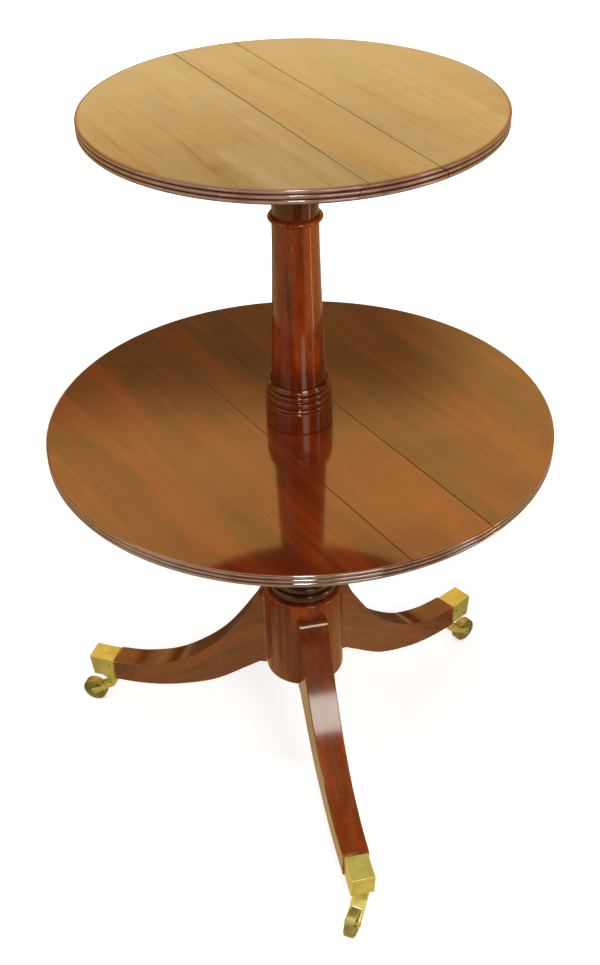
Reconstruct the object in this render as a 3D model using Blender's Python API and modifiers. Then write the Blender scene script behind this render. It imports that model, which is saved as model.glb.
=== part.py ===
"""Two-tier drop-leaf dumbwaiter table on a tripod with brass casters.

Each tier is a narrow centre board with a half-moon leaf hinged to either side by rule joints.
The tiers turn on the column over a fixed bearer bar, which holds the leaves up when it lies
across them and lets them hang when it lies in line with the seams, as it does here.
Units are metres, +Z is up, and the origin is on the floor in the middle of the overall box.
"""

import math

import bmesh
import bpy
from mathutils import Matrix, Vector

# Clearances and overruns
FIT = 0.0003
RUNNING_GAP = 0.0004
OVERRUN = 0.0030
MERGE = 0.00001
SHARP_ANGLE_DEG = 30.0
BEVEL_ANGLE_DEG = 40.0
FLAT_ANGLE_DEG = 0.1
LEVEL_SHARE = 0.999

# Tiers
LOWER_TIER_RADIUS = 0.3050
UPPER_TIER_RADIUS = 0.2275
LOWER_TIER_TOP = 0.5580
UPPER_TIER_TOP = 0.9450
BOARD_THICKNESS = 0.0150
LOWER_SEAM = 0.0531
UPPER_SEAM = 0.0389
LOWER_SEAM_AZIMUTH_DEG = 110.5
UPPER_SEAM_AZIMUTH_DEG = 105.9
REED_COUNT = 3
TIER_STEPS = 60
REED_STEPS = 3

# Rule joint, measured from the seam on the top face
JOINT_FILLET = 0.0022
PIN_DEPTH = 0.0122
JOINT_GAP = 0.0006
JOINT_STEPS = 5

# Back-flap hinge
HINGE_WIDTH = 0.0380
MIDDLE_LOOP_WIDTH = 0.0180
FIXED_FLAP_LENGTH = 0.0180
LEAF_FLAP_LENGTH = 0.0340
FLAP_THICKNESS = 0.0016
LOOP_RADIUS = 0.0026
HINGE_PIN_RADIUS = 0.0011
LOOP_NOTCH_GAP = 0.0005
LOWER_HINGE_SPREAD = 0.1650
UPPER_HINGE_SPREAD = 0.1150
LOOP_STEPS = 8
PIN_STEPS = 6

# Bearers, pivots and stops
LOWER_BEARER_LENGTH = 0.4100
LOWER_BEARER_WIDTH = 0.0600
LOWER_BEARER_THICKNESS = 0.0200
UPPER_BEARER_LENGTH = 0.3000
UPPER_BEARER_WIDTH = 0.0400
UPPER_BEARER_THICKNESS = 0.0170
BEARER_END_THICKNESS = 0.0090
BEARER_EDGE = 0.0012
BEARER_FLAT_SHARE = 0.28
LOWER_PLATE_RADIUS = 0.0300
UPPER_PLATE_RADIUS = 0.0220
PLATE_THICKNESS = 0.0020
LOWER_PEG_RADIUS = 0.0040
UPPER_PEG_RADIUS = 0.0035
PEG_LENGTH = 0.0110
PEG_SINK = 0.0070
STOP_ANGLE_DEG = 135.0

# Column
COLUMN_STEPS = 20
LOWER_SPIGOT_RADIUS = 0.0147
LOWER_SPIGOT_RISE = 0.0390
UPPER_SPIGOT_RADIUS = 0.0107
UPPER_SPIGOT_RISE = 0.0060
SPIGOT_CHAMFER = 0.0010
PLINTH_RADIUS = 0.0402
PLINTH_HEIGHT = 0.0270
PLINTH_EDGE = 0.0010
RINGS_HEIGHT = 0.0300
SHAFT_FOOT_RADIUS = 0.0323
SHAFT_NECK_RADIUS = 0.0265
ASTRAGAL_RADIUS = 0.0311
ASTRAGAL_THICKNESS = 0.0070
ASTRAGAL_LEVEL = 0.8200
NECK_RADIUS = 0.0261
UPPER_CAPITAL_RADIUS = 0.0325
UPPER_CAPITAL_HEIGHT = 0.0160
LOWER_FOOT_RADIUS = 0.0465
LOWER_FOOT_HEIGHT = 0.0330
LOWER_SHAFT_FOOT_RADIUS = 0.0355
LOWER_SHAFT_NECK_RADIUS = 0.0300
LOWER_CAPITAL_RADIUS = 0.0370
LOWER_CAPITAL_HEIGHT = 0.0300
BEAD_STEPS = 3
# Each ring: radius as a share of the plinth's or foot's, then its ends as shares of the height.
BASE_RING_SHARES = ((0.990, 0.00, 0.17), (0.990, 0.20, 0.45), (0.972, 0.48, 0.73), (0.930, 0.76, 0.92))
BASE_FILLET_SHARE = 0.860
FOOT_RING_SHARES = ((1.000, 0.00, 0.34), (0.930, 0.42, 0.62), (0.860, 0.72, 0.84))
FOOT_FILLET_SHARE = 0.800
CAPITAL_RING_SHARES = ((0.880, 0.00, 0.24), (1.000, 0.50, 1.00))
RING_QUIRK_SHARE = 0.960
SHAFT_SWELL_SHARES = ((0.00, 1.00), (0.08, 0.90), (0.28, 0.66), (0.60, 0.28), (0.85, 0.06), (1.00, 0.00))

# Pedestal block
BLOCK_RADIUS = 0.0520
BLOCK_BOTTOM = 0.1650
BLOCK_TOP = 0.3000
BLOCK_ARRIS = 0.0030
BLOCK_FOOT_ARRIS = 0.0010
BLOCK_STEPS = 24
ARRIS_STEPS = 3
TENON_RADIUS = 0.0157
TENON_LENGTH = 0.0700

# Iron tie plate under the block
TIE_PLATE_THICKNESS = 0.0025
TIE_PLATE_RADIUS = 0.0310
TIE_PLATE_LOBE = 0.0150
TIE_PLATE_POINTS = 24

# Legs
LEG_AZIMUTHS_DEG = {"front": -90.0, "right": 30.0, "left": 150.0}
LEG_ROOT_WIDTH = 0.0395
LEG_TOE_WIDTH = 0.0345
LEG_ROOT_TOP = 0.2790
LEG_ROOT_BOTTOM = 0.1620
LEG_ARRIS = 0.0012
LEG_SPAN_STEPS = 3
# Each point: reach from the block as a share, then rise above the toe as a share of the root's.
LEG_TOP_SHARES = ((0.000, 1.000), (0.040, 0.985), (0.100, 0.830), (0.300, 0.450), (0.560, 0.165),
                  (0.800, 0.038), (1.000, 0.000))
LEG_BOTTOM_SHARES = ((0.000, 1.000), (0.035, 0.975), (0.110, 0.835), (0.330, 0.440), (0.590, 0.170),
                     (0.800, 0.046), (1.000, 0.000))
KEY_DEPTH = 0.0150
KEY_NECK_WIDTH = 0.0120
KEY_TAIL_WIDTH = 0.0180
KEY_REACH_INTO_LEG = 0.0060
KEY_TOP = 0.2620
KEY_BOTTOM = 0.1660

# Toe cap
CAP_OUTER_REACH = 0.3274
CAP_LENGTH = 0.0379
CAP_WIDTH = 0.0305
CAP_TOP = 0.0962
CAP_BOTTOM = 0.0630
CAP_WALL = 0.0020
CAP_LEAN = 0.0045
CAP_EDGE = 0.0007

# Caster
TRAIL = 0.0240
WHEEL_RADIUS = 0.0180
WHEEL_WIDTH = 0.0126
WHEEL_STEPS = 20
WHEEL_RIM = 0.0030
WHEEL_DISH = 0.0018
WHEEL_BOSS_RADIUS = 0.0048
WHEEL_EDGE = 0.0010
AXLE_RADIUS = 0.0020
AXLE_HEAD_RADIUS = 0.0030
AXLE_HEAD_HEIGHT = 0.0010
PINTLE_RADIUS = 0.0030
PINTLE_HEAD_RADIUS = 0.0046
PINTLE_HEAD_HEIGHT = 0.0017
HORN_WIDTH = 0.0188
HORN_SLOT = 0.0138
HORN_SLOT_RADIUS = 0.0200
HORN_BOSS_RADIUS = 0.0080
HORN_BOSS_HEIGHT = 0.0094
HORN_EYE_RADIUS = 0.0050
HORN_SPAN_STEPS = 2
# Angle from each leg's own line to its caster's trail, as the casters stand.
CASTER_SWINGS_DEG = {"front": -35.0, "right": -2.5, "left": 0.0}
# Horn centre line: trail share, share of the way from axle to boss, half depth as eye share.
HORN_LINE_SHARES = ((0.00, 1.00, 0.80), (-0.30, 0.99, 0.80), (-0.49, 0.84, 0.66), (-0.40, 0.60, 0.72),
                    (0.02, 0.42, 0.80), (0.50, 0.20, 0.78), (1.00, 0.00, 0.90))

# Sizes worked out from those above
PIN_TO_UNDERSIDE = BOARD_THICKNESS - PIN_DEPTH
OVOLO_RADIUS = PIN_DEPTH - JOINT_FILLET
COVE_RADIUS = OVOLO_RADIUS + JOINT_GAP
REED_PITCH = BOARD_THICKNESS / REED_COUNT
CAP_INNER_REACH = CAP_OUTER_REACH - CAP_LENGTH
PINTLE_REACH = CAP_OUTER_REACH - CAP_LENGTH / 2
HORN_TOP = CAP_BOTTOM - RUNNING_GAP
HORN_BOSS_BOTTOM = HORN_TOP - HORN_BOSS_HEIGHT
TOE_TOP = CAP_TOP - CAP_WALL - FIT
TOE_BOTTOM = CAP_BOTTOM + CAP_WALL + FIT + PINTLE_HEAD_HEIGHT + 2 * FIT
TOE_WIDTH = CAP_WIDTH - 2 * CAP_WALL - 2 * FIT
LOWER_BORE_RADIUS = LOWER_SPIGOT_RADIUS + FIT
UPPER_BORE_RADIUS = UPPER_SPIGOT_RADIUS + FIT
LOWER_BEARER_TOP = LOWER_TIER_TOP - BOARD_THICKNESS - RUNNING_GAP
UPPER_BEARER_TOP = UPPER_TIER_TOP - BOARD_THICKNESS - RUNNING_GAP
UPPER_COLUMN_BOTTOM = LOWER_TIER_TOP + RUNNING_GAP


def front_reach():
    """Distance from the column's axis to the foremost point of the front foot."""
    swing = math.radians(CASTER_SWINGS_DEG["front"])
    wheel = (PINTLE_REACH + (TRAIL + WHEEL_RADIUS) * math.cos(swing)
             + (WHEEL_WIDTH / 2 - WHEEL_EDGE) * abs(math.sin(swing)))
    return max(wheel, CAP_OUTER_REACH)


AXIS_Y = (front_reach() - LOWER_TIER_RADIUS) / 2


# Scene helpers

def clear_scene():
    """Remove every object, so that the model starts from nothing."""
    for obj in list(bpy.data.objects):
        bpy.data.objects.remove(obj, do_unlink=True)


def make_collection(name):
    """A new collection in the scene."""
    collection = bpy.data.collections.new(name)
    bpy.context.scene.collection.children.link(collection)
    return collection


def make_material(name, colour, roughness, metallic):
    """A Principled material with one colour."""
    material = bpy.data.materials.new(name)
    material.use_nodes = True
    shader = material.node_tree.nodes["Principled BSDF"]
    shader.inputs["Base Color"].default_value = (*colour, 1.0)
    shader.inputs["Roughness"].default_value = roughness
    shader.inputs["Metallic"].default_value = metallic
    return material


def make_empty(name, parent=None, location=(0, 0, 0), turn_deg=0.0):
    """An empty that carries parts, turned about +Z."""
    empty = bpy.data.objects.new(name, None)
    PARTS.objects.link(empty)
    empty.parent = parent
    empty.location = location
    empty.rotation_euler = (0, 0, math.radians(turn_deg))
    return empty


def add_part(name, mesh, finish, parent, location=(0, 0, 0), turn_deg=0.0):
    """A named part that holds the given mesh."""
    obj = bpy.data.objects.new(name, mesh)
    PARTS.objects.link(obj)
    material = make_material(name, *finish)
    if mesh.materials:
        obj.material_slots[0].link = "OBJECT"
        obj.material_slots[0].material = material
    else:
        mesh.materials.append(material)
    obj.parent = parent
    obj.location = location
    obj.rotation_euler = (0, 0, math.radians(turn_deg))
    return obj


def add_cutter(name, mesh, parent=None, location=(0, 0, 0), turn_deg=0.0):
    """A hidden solid that cuts, joins or bounds a part."""
    obj = bpy.data.objects.new(name, mesh)
    CUTTERS.objects.link(obj)
    obj.parent = parent
    obj.location = location
    obj.rotation_euler = (0, 0, math.radians(turn_deg))
    obj.hide_render = True
    obj.display_type = "WIRE"
    return obj


def add_boolean(obj, cutter, operation):
    """An exact Boolean of a part with a hidden solid."""
    modifier = obj.modifiers.new(operation.lower() + " " + cutter.name, "BOOLEAN")
    modifier.object = cutter
    modifier.operation = operation
    modifier.solver = "EXACT"
    return modifier


def add_bevel(obj, width):
    """One narrow chamfer along the sharp edges."""
    modifier = obj.modifiers.new("arris", "BEVEL")
    modifier.width = width
    modifier.segments = 1
    modifier.limit_method = "ANGLE"
    modifier.angle_limit = math.radians(BEVEL_ANGLE_DEG)
    return modifier


def finished_mesh(obj, name):
    """The mesh of an object after its modifiers, as a mesh of its own."""
    bpy.context.view_layer.update()
    depsgraph = bpy.context.evaluated_depsgraph_get()
    mesh = bpy.data.meshes.new_from_object(obj.evaluated_get(depsgraph))
    mesh.name = name
    mesh.materials.clear()
    bpy.data.objects.remove(obj, do_unlink=True)
    return mesh


def smooth_round(mesh):
    """Smooth shading with the true edges kept sharp and level faces flat."""
    mesh.shade_smooth()
    mesh.set_sharp_from_angle(angle=math.radians(SHARP_ANGLE_DEG))
    for face in mesh.polygons:
        if abs(face.normal.z) > LEVEL_SHARE:
            face.use_smooth = False


# Mesh builders

def box_mesh(name, low, high):
    """A box between two corners."""
    bm = bmesh.new()
    bmesh.ops.create_cube(bm, size=1)
    low, high = Vector(low), Vector(high)
    size = high - low
    bmesh.ops.scale(bm, vec=size, verts=bm.verts)
    bmesh.ops.translate(bm, vec=(low + high) / 2, verts=bm.verts)
    return mesh_from(bm, name)


def cylinder_mesh(name, radius, low, high, steps, axis="Z", centre=(0, 0)):
    """A cylinder along an axis from low to high; centre is across that axis."""
    bm = bmesh.new()
    bmesh.ops.create_cone(bm, cap_ends=True, segments=steps, radius1=radius, radius2=radius,
                          depth=high - low)
    bmesh.ops.translate(bm, vec=(0, 0, (low + high) / 2), verts=bm.verts)
    if axis == "Y":
        bmesh.ops.rotate(bm, matrix=Matrix.Rotation(math.radians(-90), 3, "X"), verts=bm.verts)
        bmesh.ops.translate(bm, vec=(centre[0], 0, centre[1]), verts=bm.verts)
    else:
        bmesh.ops.translate(bm, vec=(centre[0], centre[1], 0), verts=bm.verts)
    return mesh_from(bm, name)


def mesh_from(bm, name):
    """Finish a bmesh as a smooth-shaded mesh."""
    mesh = bpy.data.meshes.new(name)
    bm.to_mesh(mesh)
    bm.free()
    smooth_round(mesh)
    return mesh


def outline_mesh(name, points, thickness, upright=False):
    """A flat outline given thickness, centred on its plane.

    A flat outline lies in XY. An upright one has its second coordinate along Z and its
    thickness along Y.
    """
    curve = bpy.data.curves.new(name, "CURVE")
    curve.dimensions = "2D"
    curve.fill_mode = "BOTH"
    curve.extrude = thickness / 2
    spline = curve.splines.new("POLY")
    spline.points.add(len(points) - 1)
    for point, (x, y) in zip(spline.points, points):
        point.co = (x, y, 0, 1)
    spline.use_cyclic_u = True
    obj = bpy.data.objects.new(name, curve)
    CUTTERS.objects.link(obj)
    mesh = finished_mesh(obj, name)
    bpy.data.curves.remove(curve)
    bm = bmesh.new()
    bm.from_mesh(mesh)
    bmesh.ops.remove_doubles(bm, verts=bm.verts, dist=MERGE)
    bmesh.ops.dissolve_limit(bm, angle_limit=math.radians(FLAT_ANGLE_DEG), verts=bm.verts, edges=bm.edges)
    if upright:
        bmesh.ops.rotate(bm, matrix=Matrix.Rotation(math.radians(90), 3, "X"), verts=bm.verts)
    bmesh.ops.recalc_face_normals(bm, faces=bm.faces)
    bm.to_mesh(mesh)
    bm.free()
    return mesh


def turned_mesh(name, profile, steps, merge_axis=True):
    """A profile of (radius, height) points, running down its outer side, turned about Z."""
    mesh = bpy.data.meshes.new(name)
    count = len(profile)
    edges = [(i, i + 1) for i in range(count - 1)]
    if not merge_axis:
        edges.append((count - 1, 0))
    mesh.from_pydata([(radius, 0, height) for radius, height in profile], edges, [])
    obj = bpy.data.objects.new(name, mesh)
    CUTTERS.objects.link(obj)
    screw = obj.modifiers.new("turn", "SCREW")
    screw.axis = "Z"
    screw.steps = steps
    screw.render_steps = steps
    screw.use_merge_vertices = True
    screw.merge_threshold = MERGE
    turned = finished_mesh(obj, name)
    bpy.data.meshes.remove(mesh)
    smooth_round(turned)
    return turned


# Outline helpers

def arc(centre, radius, start_deg, end_deg, steps):
    """Points on an arc, both ends included."""
    points = []
    for i in range(steps + 1):
        angle = math.radians(start_deg + (end_deg - start_deg) * i / steps)
        points.append((centre[0] + radius * math.cos(angle), centre[1] + radius * math.sin(angle)))
    return points


def smooth_through(points, span_steps):
    """A smooth curve through the given points, with the ends kept."""
    ends = [tuple(2 * a - b for a, b in zip(points[0], points[1])),
            tuple(2 * a - b for a, b in zip(points[-1], points[-2]))]
    chain = [ends[0], *points, ends[1]]
    result = []
    for i in range(1, len(chain) - 2):
        p0, p1, p2, p3 = chain[i - 1:i + 3]
        for step in range(span_steps):
            t = step / span_steps
            result.append(tuple(
                (2 * b + (c - a) * t + (2 * a - 5 * b + 4 * c - d) * t ** 2
                 + (3 * b - 3 * c + d - a) * t ** 3) / 2
                for a, b, c, d in zip(p0, p1, p2, p3)))
    result.append(points[-1])
    return result


def half_round(inner, outer, top, bottom, steps):
    """A bead's profile from top to bottom: half an ellipse that stands out from inner to outer."""
    points = []
    for i in range(steps + 1):
        angle = math.pi / 2 - math.pi * i / steps
        points.append((inner + (outer - inner) * math.cos(angle),
                       (top + bottom) / 2 + (top - bottom) / 2 * math.sin(angle)))
    return points


def rings(shares, radius, base, height):
    """A stack of half-round rings, listed from the lowest up, as a profile from the top down."""
    points = []
    for radius_share, low_share, high_share in reversed(shares):
        outer = radius * radius_share
        points += half_round(outer * RING_QUIRK_SHARE, outer, base + height * high_share,
                             base + height * low_share, BEAD_STEPS)
    return points


def shaft(foot_radius, neck_radius, foot, neck):
    """A tapering shaft from the neck down to the foot."""
    return [(neck_radius + (foot_radius - neck_radius) * taper, foot + (neck - foot) * rise)
            for rise, taper in reversed(SHAFT_SWELL_SHARES)]


# Tiers

def tier_blank(name, radius, top):
    """The whole round of a tier with its reeded edge, which bounds the board and the leaves."""
    root = radius - REED_PITCH / 2
    profile = [(0, top), (root, top)]
    for i in range(REED_COUNT):
        high = top - i * REED_PITCH
        profile += half_round(root, radius, high, high - REED_PITCH, REED_STEPS)[1:]
    profile.append((0, top - BOARD_THICKNESS))
    return turned_mesh(name, profile, TIER_STEPS)


def board_section(seam, top):
    """The centre board's section across the seams: an ovolo along either side."""
    pin = top - PIN_DEPTH
    right = [(seam, top + OVERRUN)]
    right += arc((seam, pin), OVOLO_RADIUS, 90, 0, JOINT_STEPS)
    right.append((seam + OVOLO_RADIUS, top - BOARD_THICKNESS - OVERRUN))
    return right + [(-x, z) for x, z in reversed(right)]


def leaf_section(seam, top, radius):
    """A leaf's section across its seam: the cove that fits over the board's ovolo."""
    pin = top - PIN_DEPTH
    bottom = top - BOARD_THICKNESS
    lip_deg = math.degrees(math.acos(JOINT_GAP / COVE_RADIUS))
    points = [(seam + JOINT_GAP, top + OVERRUN), (radius + OVERRUN, top + OVERRUN),
              (radius + OVERRUN, bottom - OVERRUN), (seam + COVE_RADIUS, bottom - OVERRUN)]
    return points + arc((seam, pin), COVE_RADIUS, 0, lip_deg, JOINT_STEPS)


def hinge_housings(name, sides, seam, top, spread, section):
    """Housings for the hinges along the seams, cut up from the underside.

    The section holds (distance outward from the pin, height above the underside) points.
    """
    underside = top - BOARD_THICKNESS
    one = outline_mesh(name + " section", section, HINGE_WIDTH + 2 * FIT, True)
    bm = bmesh.new()
    for side in sides:
        for along in (-spread, spread):
            copy = one.copy()
            if side < 0:
                copy.transform(Matrix.Rotation(math.pi, 4, "Z"))
            copy.transform(Matrix.Translation((side * seam, along, underside)))
            bm.from_mesh(copy)
            bpy.data.meshes.remove(copy)
    bpy.data.meshes.remove(one)
    return mesh_from(bm, name)


def board_housing_section():
    """Section of a hinge's housing in the centre board: room for the flap and its loops."""
    flap = FLAP_THICKNESS + FIT
    reach = LOOP_RADIUS + LOOP_NOTCH_GAP + FIT
    crown = PIN_TO_UNDERSIDE + LOOP_RADIUS + FIT
    inner = -FIXED_FLAP_LENGTH - FIT
    outer = COVE_RADIUS + OVERRUN
    return [(inner, -OVERRUN), (outer, -OVERRUN), (outer, flap), (reach, flap), (reach, crown),
            (-reach, crown), (-reach, flap), (inner, flap)]


def leaf_housing_section():
    """Section of a hinge's housing in a leaf."""
    flap = FLAP_THICKNESS + FIT
    inner = COVE_RADIUS - OVERRUN
    outer = LEAF_FLAP_LENGTH + FIT
    return [(inner, -OVERRUN), (outer, -OVERRUN), (outer, flap), (inner, flap)]


def build_tier(prefix, frame, seam, radius, top, spread, bore, bore_top, plate, peg, bearer_width):
    """One tier: centre board, two leaves, pivot plate and stop peg."""
    underside = top - BOARD_THICKNESS
    length = 2 * (radius + OVERRUN)
    blank = add_cutter(prefix + "_tier_blank", tier_blank(prefix + " tier blank", radius, top), frame)

    board = add_part(prefix + "_centre_board",
                     outline_mesh(prefix + " board section", board_section(seam, top), length, True),
                     MAHOGANY_TOP, frame)
    add_boolean(board, blank, "INTERSECT")
    housing = hinge_housings(prefix + " board housings", (-1, 1), seam, top, spread,
                             board_housing_section())
    add_boolean(board, add_cutter(prefix + "_board_housings", housing, frame), "DIFFERENCE")
    hole = cylinder_mesh(prefix + " pivot bore", bore, underside - OVERRUN, bore_top, COLUMN_STEPS)
    add_boolean(board, add_cutter(prefix + "_pivot_bore", hole, frame), "DIFFERENCE")
    seat = cylinder_mesh(prefix + " plate seat", plate + FIT, underside - OVERRUN,
                         underside + PLATE_THICKNESS + FIT, COLUMN_STEPS)
    add_boolean(board, add_cutter(prefix + "_plate_seat", seat, frame), "DIFFERENCE")
    reach = (bearer_width / 2 + peg + RUNNING_GAP) / math.sin(math.radians(180 - STOP_ANGLE_DEG))
    along = reach * math.cos(math.radians(STOP_ANGLE_DEG))
    across = reach * math.sin(math.radians(STOP_ANGLE_DEG))
    socket = cylinder_mesh(prefix + " peg socket", peg + FIT, underside - OVERRUN,
                           underside + PEG_SINK + FIT, LOOP_STEPS, centre=(-across, along))
    add_boolean(board, add_cutter(prefix + "_peg_socket", socket, frame), "DIFFERENCE")

    for side, word in ((1, "right"), (-1, "left")):
        section = [(side * x, z) for x, z in leaf_section(seam, top, radius)]
        leaf = add_part(f"{prefix}_leaf_{word}",
                        outline_mesh(f"{prefix} leaf section {word}", section, length, True),
                        MAHOGANY_TOP, frame)
        add_boolean(leaf, blank, "INTERSECT")
        flap = hinge_housings(f"{prefix} leaf housings {word}", (side,), seam, top, spread,
                              leaf_housing_section())
        add_boolean(leaf, add_cutter(f"{prefix}_leaf_housings_{word}", flap, frame), "DIFFERENCE")

    ring = [(bore + FIT, underside + PLATE_THICKNESS), (plate, underside + PLATE_THICKNESS),
            (plate, underside), (bore + FIT, underside)]
    add_part(prefix + "_pivot_plate", turned_mesh(prefix + " plate", ring, COLUMN_STEPS, False),
             OLD_IRON, frame)
    pin = cylinder_mesh(prefix + " peg", peg, underside - PEG_LENGTH, underside + PEG_SINK,
                        LOOP_STEPS, centre=(-across, along))
    add_part(prefix + "_stop_peg", pin, MAHOGANY_DARK, frame)


# Hinges

def flap_mesh(name, length, loop_spans, side):
    """One flap with its loops, its pin along Y at the origin and its plate to one side."""
    bottom = -PIN_TO_UNDERSIDE + FIT / 3
    top = bottom + FLAP_THICKNESS
    near = LOOP_RADIUS + LOOP_NOTCH_GAP
    half = HINGE_WIDTH / 2
    ends = sorted((side * near, side * length))
    flap = add_cutter(name + "_body", box_mesh(name + " plate", (ends[0], -half, bottom),
                                               (ends[1], half, top)))
    tools = []
    for index, (low, high) in enumerate(loop_spans):
        web_ends = sorted((0, side * (near + FIT)))
        web = box_mesh(f"{name} web {index}", (web_ends[0], low, bottom), (web_ends[1], high, top))
        tools.append((add_cutter(f"{name}_web_{index}", web), "UNION"))
        loop = cylinder_mesh(f"{name} loop {index}", LOOP_RADIUS, low, high, LOOP_STEPS, "Y")
        tools.append((add_cutter(f"{name}_loop_{index}", loop), "UNION"))
    bore = cylinder_mesh(name + " bore", HINGE_PIN_RADIUS + FIT, -half - OVERRUN, half + OVERRUN,
                         PIN_STEPS, "Y")
    tools.append((add_cutter(name + "_bore", bore), "DIFFERENCE"))
    for tool, operation in tools:
        add_boolean(flap, tool, operation)
    mesh = finished_mesh(flap, name)
    for tool, _ in tools:
        bpy.data.objects.remove(tool, do_unlink=True)
    smooth_round(mesh)
    return mesh


def build_hinges(prefix, frame, seam, top, spread, meshes):
    """The four hinges of a tier: two flaps and a pin each."""
    fixed, leaf, pin = meshes
    for side, word in ((1, "right"), (-1, "left")):
        for along, place in ((-spread, "front"), (spread, "back")):
            turn = 0 if side > 0 else 180
            at = (side * seam, along, top - PIN_DEPTH)
            stem = f"{prefix}_{word}_{place}"
            add_part(stem + "_fixed_flap", fixed, DULL_BRASS, frame, at, turn)
            add_part(stem + "_leaf_flap", leaf, DULL_BRASS, frame, at, turn)
            add_part(stem + "_hinge_pin", pin, OLD_IRON, frame, at, turn)


def hinge_meshes():
    """The fixed flap, the leaf flap and the pin that all the hinges share."""
    half = HINGE_WIDTH / 2
    middle = MIDDLE_LOOP_WIDTH / 2
    outer_spans = ((-half, -middle - FIT), (middle + FIT, half))
    fixed = flap_mesh("fixed flap", FIXED_FLAP_LENGTH, outer_spans, -1)
    leaf = flap_mesh("leaf flap", LEAF_FLAP_LENGTH, ((-middle, middle),), 1)
    pin = cylinder_mesh("hinge pin", HINGE_PIN_RADIUS, -half, half, PIN_STEPS, "Y")
    return fixed, leaf, pin


# Column and bearers

def build_bearer(name, frame, length, width, thickness, top, bore):
    """The bar under a tier: full depth at the column, thinner towards its rounded ends."""
    flat = length * BEARER_FLAT_SHARE / 2
    end = length / 2
    outline = [(-end, top), (-end, top - BEARER_END_THICKNESS), (-flat, top - thickness),
               (flat, top - thickness), (end, top - BEARER_END_THICKNESS), (end, top)]
    mesh = outline_mesh(name + " side", outline, width, True)
    mesh.transform(Matrix.Rotation(math.radians(90), 4, "Z"))
    bearer = add_part(name, mesh, MAHOGANY_DARK, frame)
    add_bevel(bearer, BEARER_EDGE)
    hole = cylinder_mesh(name + " bore", bore, top - thickness - OVERRUN, top + OVERRUN, COLUMN_STEPS)
    add_boolean(bearer, add_cutter(name + "_bore", hole, frame), "DIFFERENCE")
    return bearer


def lower_column_profile():
    """The hidden lower column, from its spigot down to the tenon in the block."""
    shoulder = LOWER_BEARER_TOP - LOWER_BEARER_THICKNESS - FIT
    spigot_top = UPPER_COLUMN_BOTTOM + LOWER_SPIGOT_RISE
    foot = BLOCK_TOP + FIT
    capital = shoulder - LOWER_CAPITAL_HEIGHT
    fillet = LOWER_FOOT_RADIUS * FOOT_FILLET_SHARE
    profile = [(0, spigot_top), (LOWER_SPIGOT_RADIUS - SPIGOT_CHAMFER, spigot_top),
               (LOWER_SPIGOT_RADIUS, spigot_top - SPIGOT_CHAMFER), (LOWER_SPIGOT_RADIUS, shoulder),
               (LOWER_CAPITAL_RADIUS * RING_QUIRK_SHARE, shoulder)]
    profile += rings(CAPITAL_RING_SHARES, LOWER_CAPITAL_RADIUS, capital, LOWER_CAPITAL_HEIGHT)[1:]
    profile += shaft(LOWER_SHAFT_FOOT_RADIUS, LOWER_SHAFT_NECK_RADIUS, foot + LOWER_FOOT_HEIGHT,
                     capital)
    profile.append((fillet, foot + LOWER_FOOT_HEIGHT))
    profile += rings(FOOT_RING_SHARES, LOWER_FOOT_RADIUS, foot, LOWER_FOOT_HEIGHT)
    profile += [(TENON_RADIUS, foot), (TENON_RADIUS, foot - TENON_LENGTH + SPIGOT_CHAMFER),
                (TENON_RADIUS - SPIGOT_CHAMFER, foot - TENON_LENGTH), (0, foot - TENON_LENGTH)]
    return profile


def upper_column_profile():
    """The column between the tiers, from its upper spigot down to the socket in its plinth."""
    shoulder = UPPER_BEARER_TOP - UPPER_BEARER_THICKNESS - FIT
    spigot_top = UPPER_TIER_TOP - BOARD_THICKNESS + UPPER_SPIGOT_RISE
    capital = shoulder - UPPER_CAPITAL_HEIGHT
    plinth_top = UPPER_COLUMN_BOTTOM + PLINTH_HEIGHT
    shaft_foot = plinth_top + RINGS_HEIGHT
    ring_low = ASTRAGAL_LEVEL - ASTRAGAL_THICKNESS / 2
    ring_high = ASTRAGAL_LEVEL + ASTRAGAL_THICKNESS / 2
    socket_top = UPPER_COLUMN_BOTTOM + LOWER_SPIGOT_RISE + FIT
    profile = [(0, spigot_top), (UPPER_SPIGOT_RADIUS - SPIGOT_CHAMFER, spigot_top),
               (UPPER_SPIGOT_RADIUS, spigot_top - SPIGOT_CHAMFER), (UPPER_SPIGOT_RADIUS, shoulder)]
    profile.append((UPPER_CAPITAL_RADIUS * RING_QUIRK_SHARE, shoulder))
    profile += rings(CAPITAL_RING_SHARES, UPPER_CAPITAL_RADIUS, capital, UPPER_CAPITAL_HEIGHT)[1:]
    profile.append((NECK_RADIUS, capital - PLINTH_EDGE))
    profile += [(NECK_RADIUS, ring_high)]
    profile += half_round(SHAFT_NECK_RADIUS, ASTRAGAL_RADIUS, ring_high, ring_low, BEAD_STEPS + 2)
    profile += shaft(SHAFT_FOOT_RADIUS, SHAFT_NECK_RADIUS, shaft_foot, ring_low - PLINTH_EDGE)
    profile.append((PLINTH_RADIUS * BASE_FILLET_SHARE, shaft_foot))
    profile += rings(BASE_RING_SHARES, PLINTH_RADIUS, plinth_top, RINGS_HEIGHT)
    profile += [(PLINTH_RADIUS - PLINTH_EDGE, plinth_top), (PLINTH_RADIUS, plinth_top - PLINTH_EDGE),
                (PLINTH_RADIUS, UPPER_COLUMN_BOTTOM + PLINTH_EDGE),
                (PLINTH_RADIUS - PLINTH_EDGE, UPPER_COLUMN_BOTTOM),
                (LOWER_BORE_RADIUS, UPPER_COLUMN_BOTTOM), (LOWER_BORE_RADIUS, socket_top),
                (0, socket_top)]
    return profile


# Pedestal block and legs

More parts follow.
